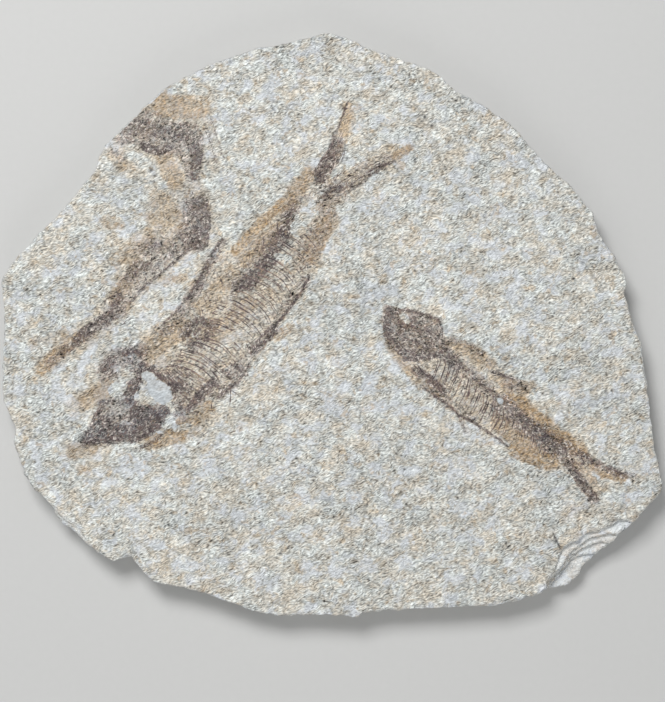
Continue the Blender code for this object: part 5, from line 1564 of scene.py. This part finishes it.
def light_room(stage, scene):
    """Even light from all round, and two soft lights."""
    world = bpy.data.worlds.new("soft_room")
    world.use_nodes = True
    background = world.node_tree.nodes["Background"]
    background.inputs[0].default_value = ROOM_COLOUR
    background.inputs[1].default_value = stage.ambient
    scene.world = world
    for name, place, size, share in LIGHTS:
        light = bpy.data.lights.new(name, "AREA")
        light.size = size
        light.energy = stage.light_power * share
        lamp = linked(name, light)
        lamp.location = place
        lamp.rotation_euler = (AIM - Vector(place)).to_track_quat("-Z", "Y").to_euler()


def place_camera(stage, scene):
    """A camera that looks down at the face."""
    view = bpy.data.cameras.new("camera")
    view.lens = stage.lens
    view.sensor_width = SENSOR_WIDTH
    camera = linked("camera", view)
    tilt = stage.camera_tilt
    camera.location = AIM + Vector((0, -math.sin(tilt), math.cos(tilt))) * stage.camera_distance
    camera.rotation_euler = (tilt, 0, 0)
    scene.camera = camera


# ------------------------------------------------------------------------------------------------ the add-on
class StoneSettings(bpy.types.PropertyGroup):
    face_height: bpy.props.FloatProperty(
        name="Face height", description="From the flat back to the mean level of the split face",
        default=0.0095, unit="LENGTH")
    face_swell: bpy.props.FloatProperty(
        name="Face swell", description="How far the face rises and dips in broad swells",
        default=0.00014, unit="LENGTH")
    crumble: bpy.props.FloatProperty(
        name="Crumble", description="Height of the face's crumbly streaks", default=0.00025, unit="LENGTH")
    grain_strength: bpy.props.FloatProperty(
        name="Grain", description="How strongly the fine grain catches light",
        default=1.0, min=0, max=1, subtype="FACTOR")
    pale_colour: bpy.props.FloatVectorProperty(
        name="Pale stone", description="The limestone's main colour",
        default=tone(210, 214, 211), subtype="COLOR")
    cream_colour: bpy.props.FloatVectorProperty(
        name="Cream stone", description="Warmer mottles", default=tone(204, 195, 180), subtype="COLOR")
    cool_colour: bpy.props.FloatVectorProperty(
        name="Cool stone", description="Bluish pale patches", default=tone(204, 208, 213), subtype="COLOR")
    ochre_colour: bpy.props.FloatVectorProperty(
        name="Ochre spots", description="Small iron stains", default=tone(182, 160, 130), subtype="COLOR")
    grey_colour: bpy.props.FloatVectorProperty(
        name="Grey specks", description="Fine grey specks", default=tone(150, 150, 148), subtype="COLOR")
    # Also the colour of the painted shade at the foot of each step.
    dark_marks_and_shade_colour: bpy.props.FloatVectorProperty(
        name="Dark dots", description="Small dark dots and cracks", default=tone(84, 84, 84), subtype="COLOR")


class FossilSettings(bpy.types.PropertyGroup):
    relief: bpy.props.FloatProperty(
        name="Relief", description="How far the bone stands up, as a share",
        default=1.0, min=0, max=2, subtype="FACTOR")
    line_weight: bpy.props.FloatProperty(
        name="Line weight", description="Thickness of the fine bones, as a share",
        default=1.0, min=0.2, max=3, subtype="FACTOR")
    tan_colour: bpy.props.FloatVectorProperty(
        name="Tan", description="Skin and flesh stain", default=tone(197, 176, 147), subtype="COLOR")
    ochre_colour: bpy.props.FloatVectorProperty(
        name="Ochre", description="Iron stain in the bone", default=tone(168, 137, 96), subtype="COLOR")
    brown_colour: bpy.props.FloatVectorProperty(
        name="Brown bone", description="Main colour of the bone",
        default=tone(134, 116, 112), subtype="COLOR")
    dark_colour: bpy.props.FloatVectorProperty(
        name="Dark bone", description="Thick bone, nearly black", default=tone(76, 67, 70), subtype="COLOR")
    chip_colour: bpy.props.FloatVectorProperty(
        name="Bare stone", description="Smooth stone where bone has come away",
        default=tone(180, 186, 191), subtype="COLOR")
    glint_colour: bpy.props.FloatVectorProperty(
        name="Glints", description="Pale grains caught in the bone",
        default=tone(206, 198, 190), subtype="COLOR")


class StageSettings(bpy.types.PropertyGroup):
    floor_colour: bpy.props.FloatVectorProperty(
        name="Floor", description="Colour of the plain floor", default=(0.58, 0.58, 0.57), subtype="COLOR")
    light_power: bpy.props.FloatProperty(
        name="Main light", description="Power of the soft main light", default=6.45, unit="POWER")
    ambient: bpy.props.FloatProperty(
        name="Ambient", description="Strength of the even light from all round", default=0.33, min=0, max=2)
    camera_distance: bpy.props.FloatProperty(
        name="Camera distance", description="From the camera to the face", default=0.6, unit="LENGTH")
    camera_tilt: bpy.props.FloatProperty(
        name="Camera tilt", description="How far the camera leans from straight overhead",
        default=math.radians(3), unit="ROTATION")
    lens: bpy.props.FloatProperty(
        name="Lens", description="Focal length in millimetres", default=106.6)


def settings_of(context):
    scene = context.scene
    return scene.slab_stone, scene.slab_fossil, scene.slab_stage


def settle(piece, node):
    """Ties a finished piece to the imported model."""
    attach(piece, "root")
    if node:
        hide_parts(node)


def make_fish(context, name):
    stone, fossil, _ = settings_of(context)
    finish = fossil_stone(f"{name}_film", stone, fossil, math.radians(FISHES[name]["lie"]))
    film = build_film(name, stone, fossil, finish)
    bones = build_bones(name, film, fossil, bone_finish(f"{name}_bone", fossil))
    settle(film, name)
    settle(bones, None)


class FOSSIL_OT_slab(bpy.types.Operator):
    """Build the limestone slab with its split face and broken rim"""

    bl_idname = "fossil.slab"
    bl_label = "Limestone Slab"

    def execute(self, context):
        stone, fossil, _ = settings_of(context)
        piece = build_slab(stone, fossil_stone("limestone", stone, fossil, STREAK_ANGLE))
        settle(piece, "slab")
        return {"FINISHED"}


class FOSSIL_OT_large_fish(bpy.types.Operator):
    """Build the large fish: its film of bone and stained stone, and its ribs, rays and skull bones"""

    bl_idname = "fossil.large_fish"
    bl_label = "Large Fish"

    def execute(self, context):
        make_fish(context, "large_fish")
        return {"FINISHED"}


class FOSSIL_OT_small_fish(bpy.types.Operator):
    """Build the small fish: its film of bone and stained stone, and its ribs, rays and skull bones"""

    bl_idname = "fossil.small_fish"
    bl_label = "Small Fish"

    def execute(self, context):
        make_fish(context, "small_fish")
        return {"FINISHED"}


class FOSSIL_OT_bent_fish(bpy.types.Operator):
    """Build the bent, faint fish: its film of stained stone and its scattered bones"""

    bl_idname = "fossil.bent_fish"
    bl_label = "Bent Fish"

    def execute(self, context):
        make_fish(context, "bent_fish")
        return {"FINISHED"}


class FOSSIL_OT_loose_bones(bpy.types.Operator):
    """Lay the small loose bones on the stone beside the fishes"""

    bl_idname = "fossil.loose_bones"
    bl_label = "Loose Bones"

    def execute(self, context):
        _, fossil, _ = settings_of(context)
        piece = build_loose_bones(fossil, bone_finish("loose_bone", fossil))
        settle(piece, None)
        return {"FINISHED"}


class FOSSIL_OT_stage(bpy.types.Operator):
    """Set up the pale floor, the soft lights and the camera"""

    bl_idname = "fossil.stage"
    bl_label = "Stage"

    def execute(self, context):
        scene, stage = context.scene, context.scene.slab_stage
        floor = build_floor(stage)
        light_room(stage, scene)
        scene.view_settings.view_transform = "Standard"
        place_camera(stage, scene)
        return {"FINISHED"}


OPERATORS = (
    FOSSIL_OT_slab, FOSSIL_OT_large_fish, FOSSIL_OT_small_fish, FOSSIL_OT_bent_fish, FOSSIL_OT_loose_bones,
    FOSSIL_OT_stage,
)


class FOSSIL_PT_slab(bpy.types.Panel):
    """Lists the slab's pieces and their settings"""

    bl_idname = "FOSSIL_PT_slab"
    bl_label = "Fossil Slab"
    bl_space_type = "VIEW_3D"
    bl_region_type = "UI"
    bl_category = "Fossil Slab"

    def draw(self, context):
        layout = self.layout
        for group in settings_of(context):
            box = layout.box()
            for key in group.__annotations__:
                box.prop(group, key)
        for operator in OPERATORS:
            layout.operator(operator.bl_idname)


CLASSES = (StoneSettings, FossilSettings, StageSettings, *OPERATORS, FOSSIL_PT_slab)


def register():
    for cls in CLASSES:
        bpy.utils.register_class(cls)
    bpy.types.Scene.slab_stone = bpy.props.PointerProperty(type=StoneSettings)
    bpy.types.Scene.slab_fossil = bpy.props.PointerProperty(type=FossilSettings)
    bpy.types.Scene.slab_stage = bpy.props.PointerProperty(type=StageSettings)


def unregister():
    for key in ("slab_stone", "slab_fossil", "slab_stage"):
        delattr(bpy.types.Scene, key)
    for cls in reversed(CLASSES):
        bpy.utils.unregister_class(cls)


def main():
    register()
    bone_fan_tree()
    bone_strand_tree()
    backbone_tree()
    splinter_tree()
    bpy.ops.fossil.stage()
    bpy.ops.fossil.slab()
    bpy.ops.fossil.large_fish()
    bpy.ops.fossil.small_fish()
    bpy.ops.fossil.bent_fish()
    bpy.ops.fossil.loose_bones()


if __name__ == "__main__":
    main()
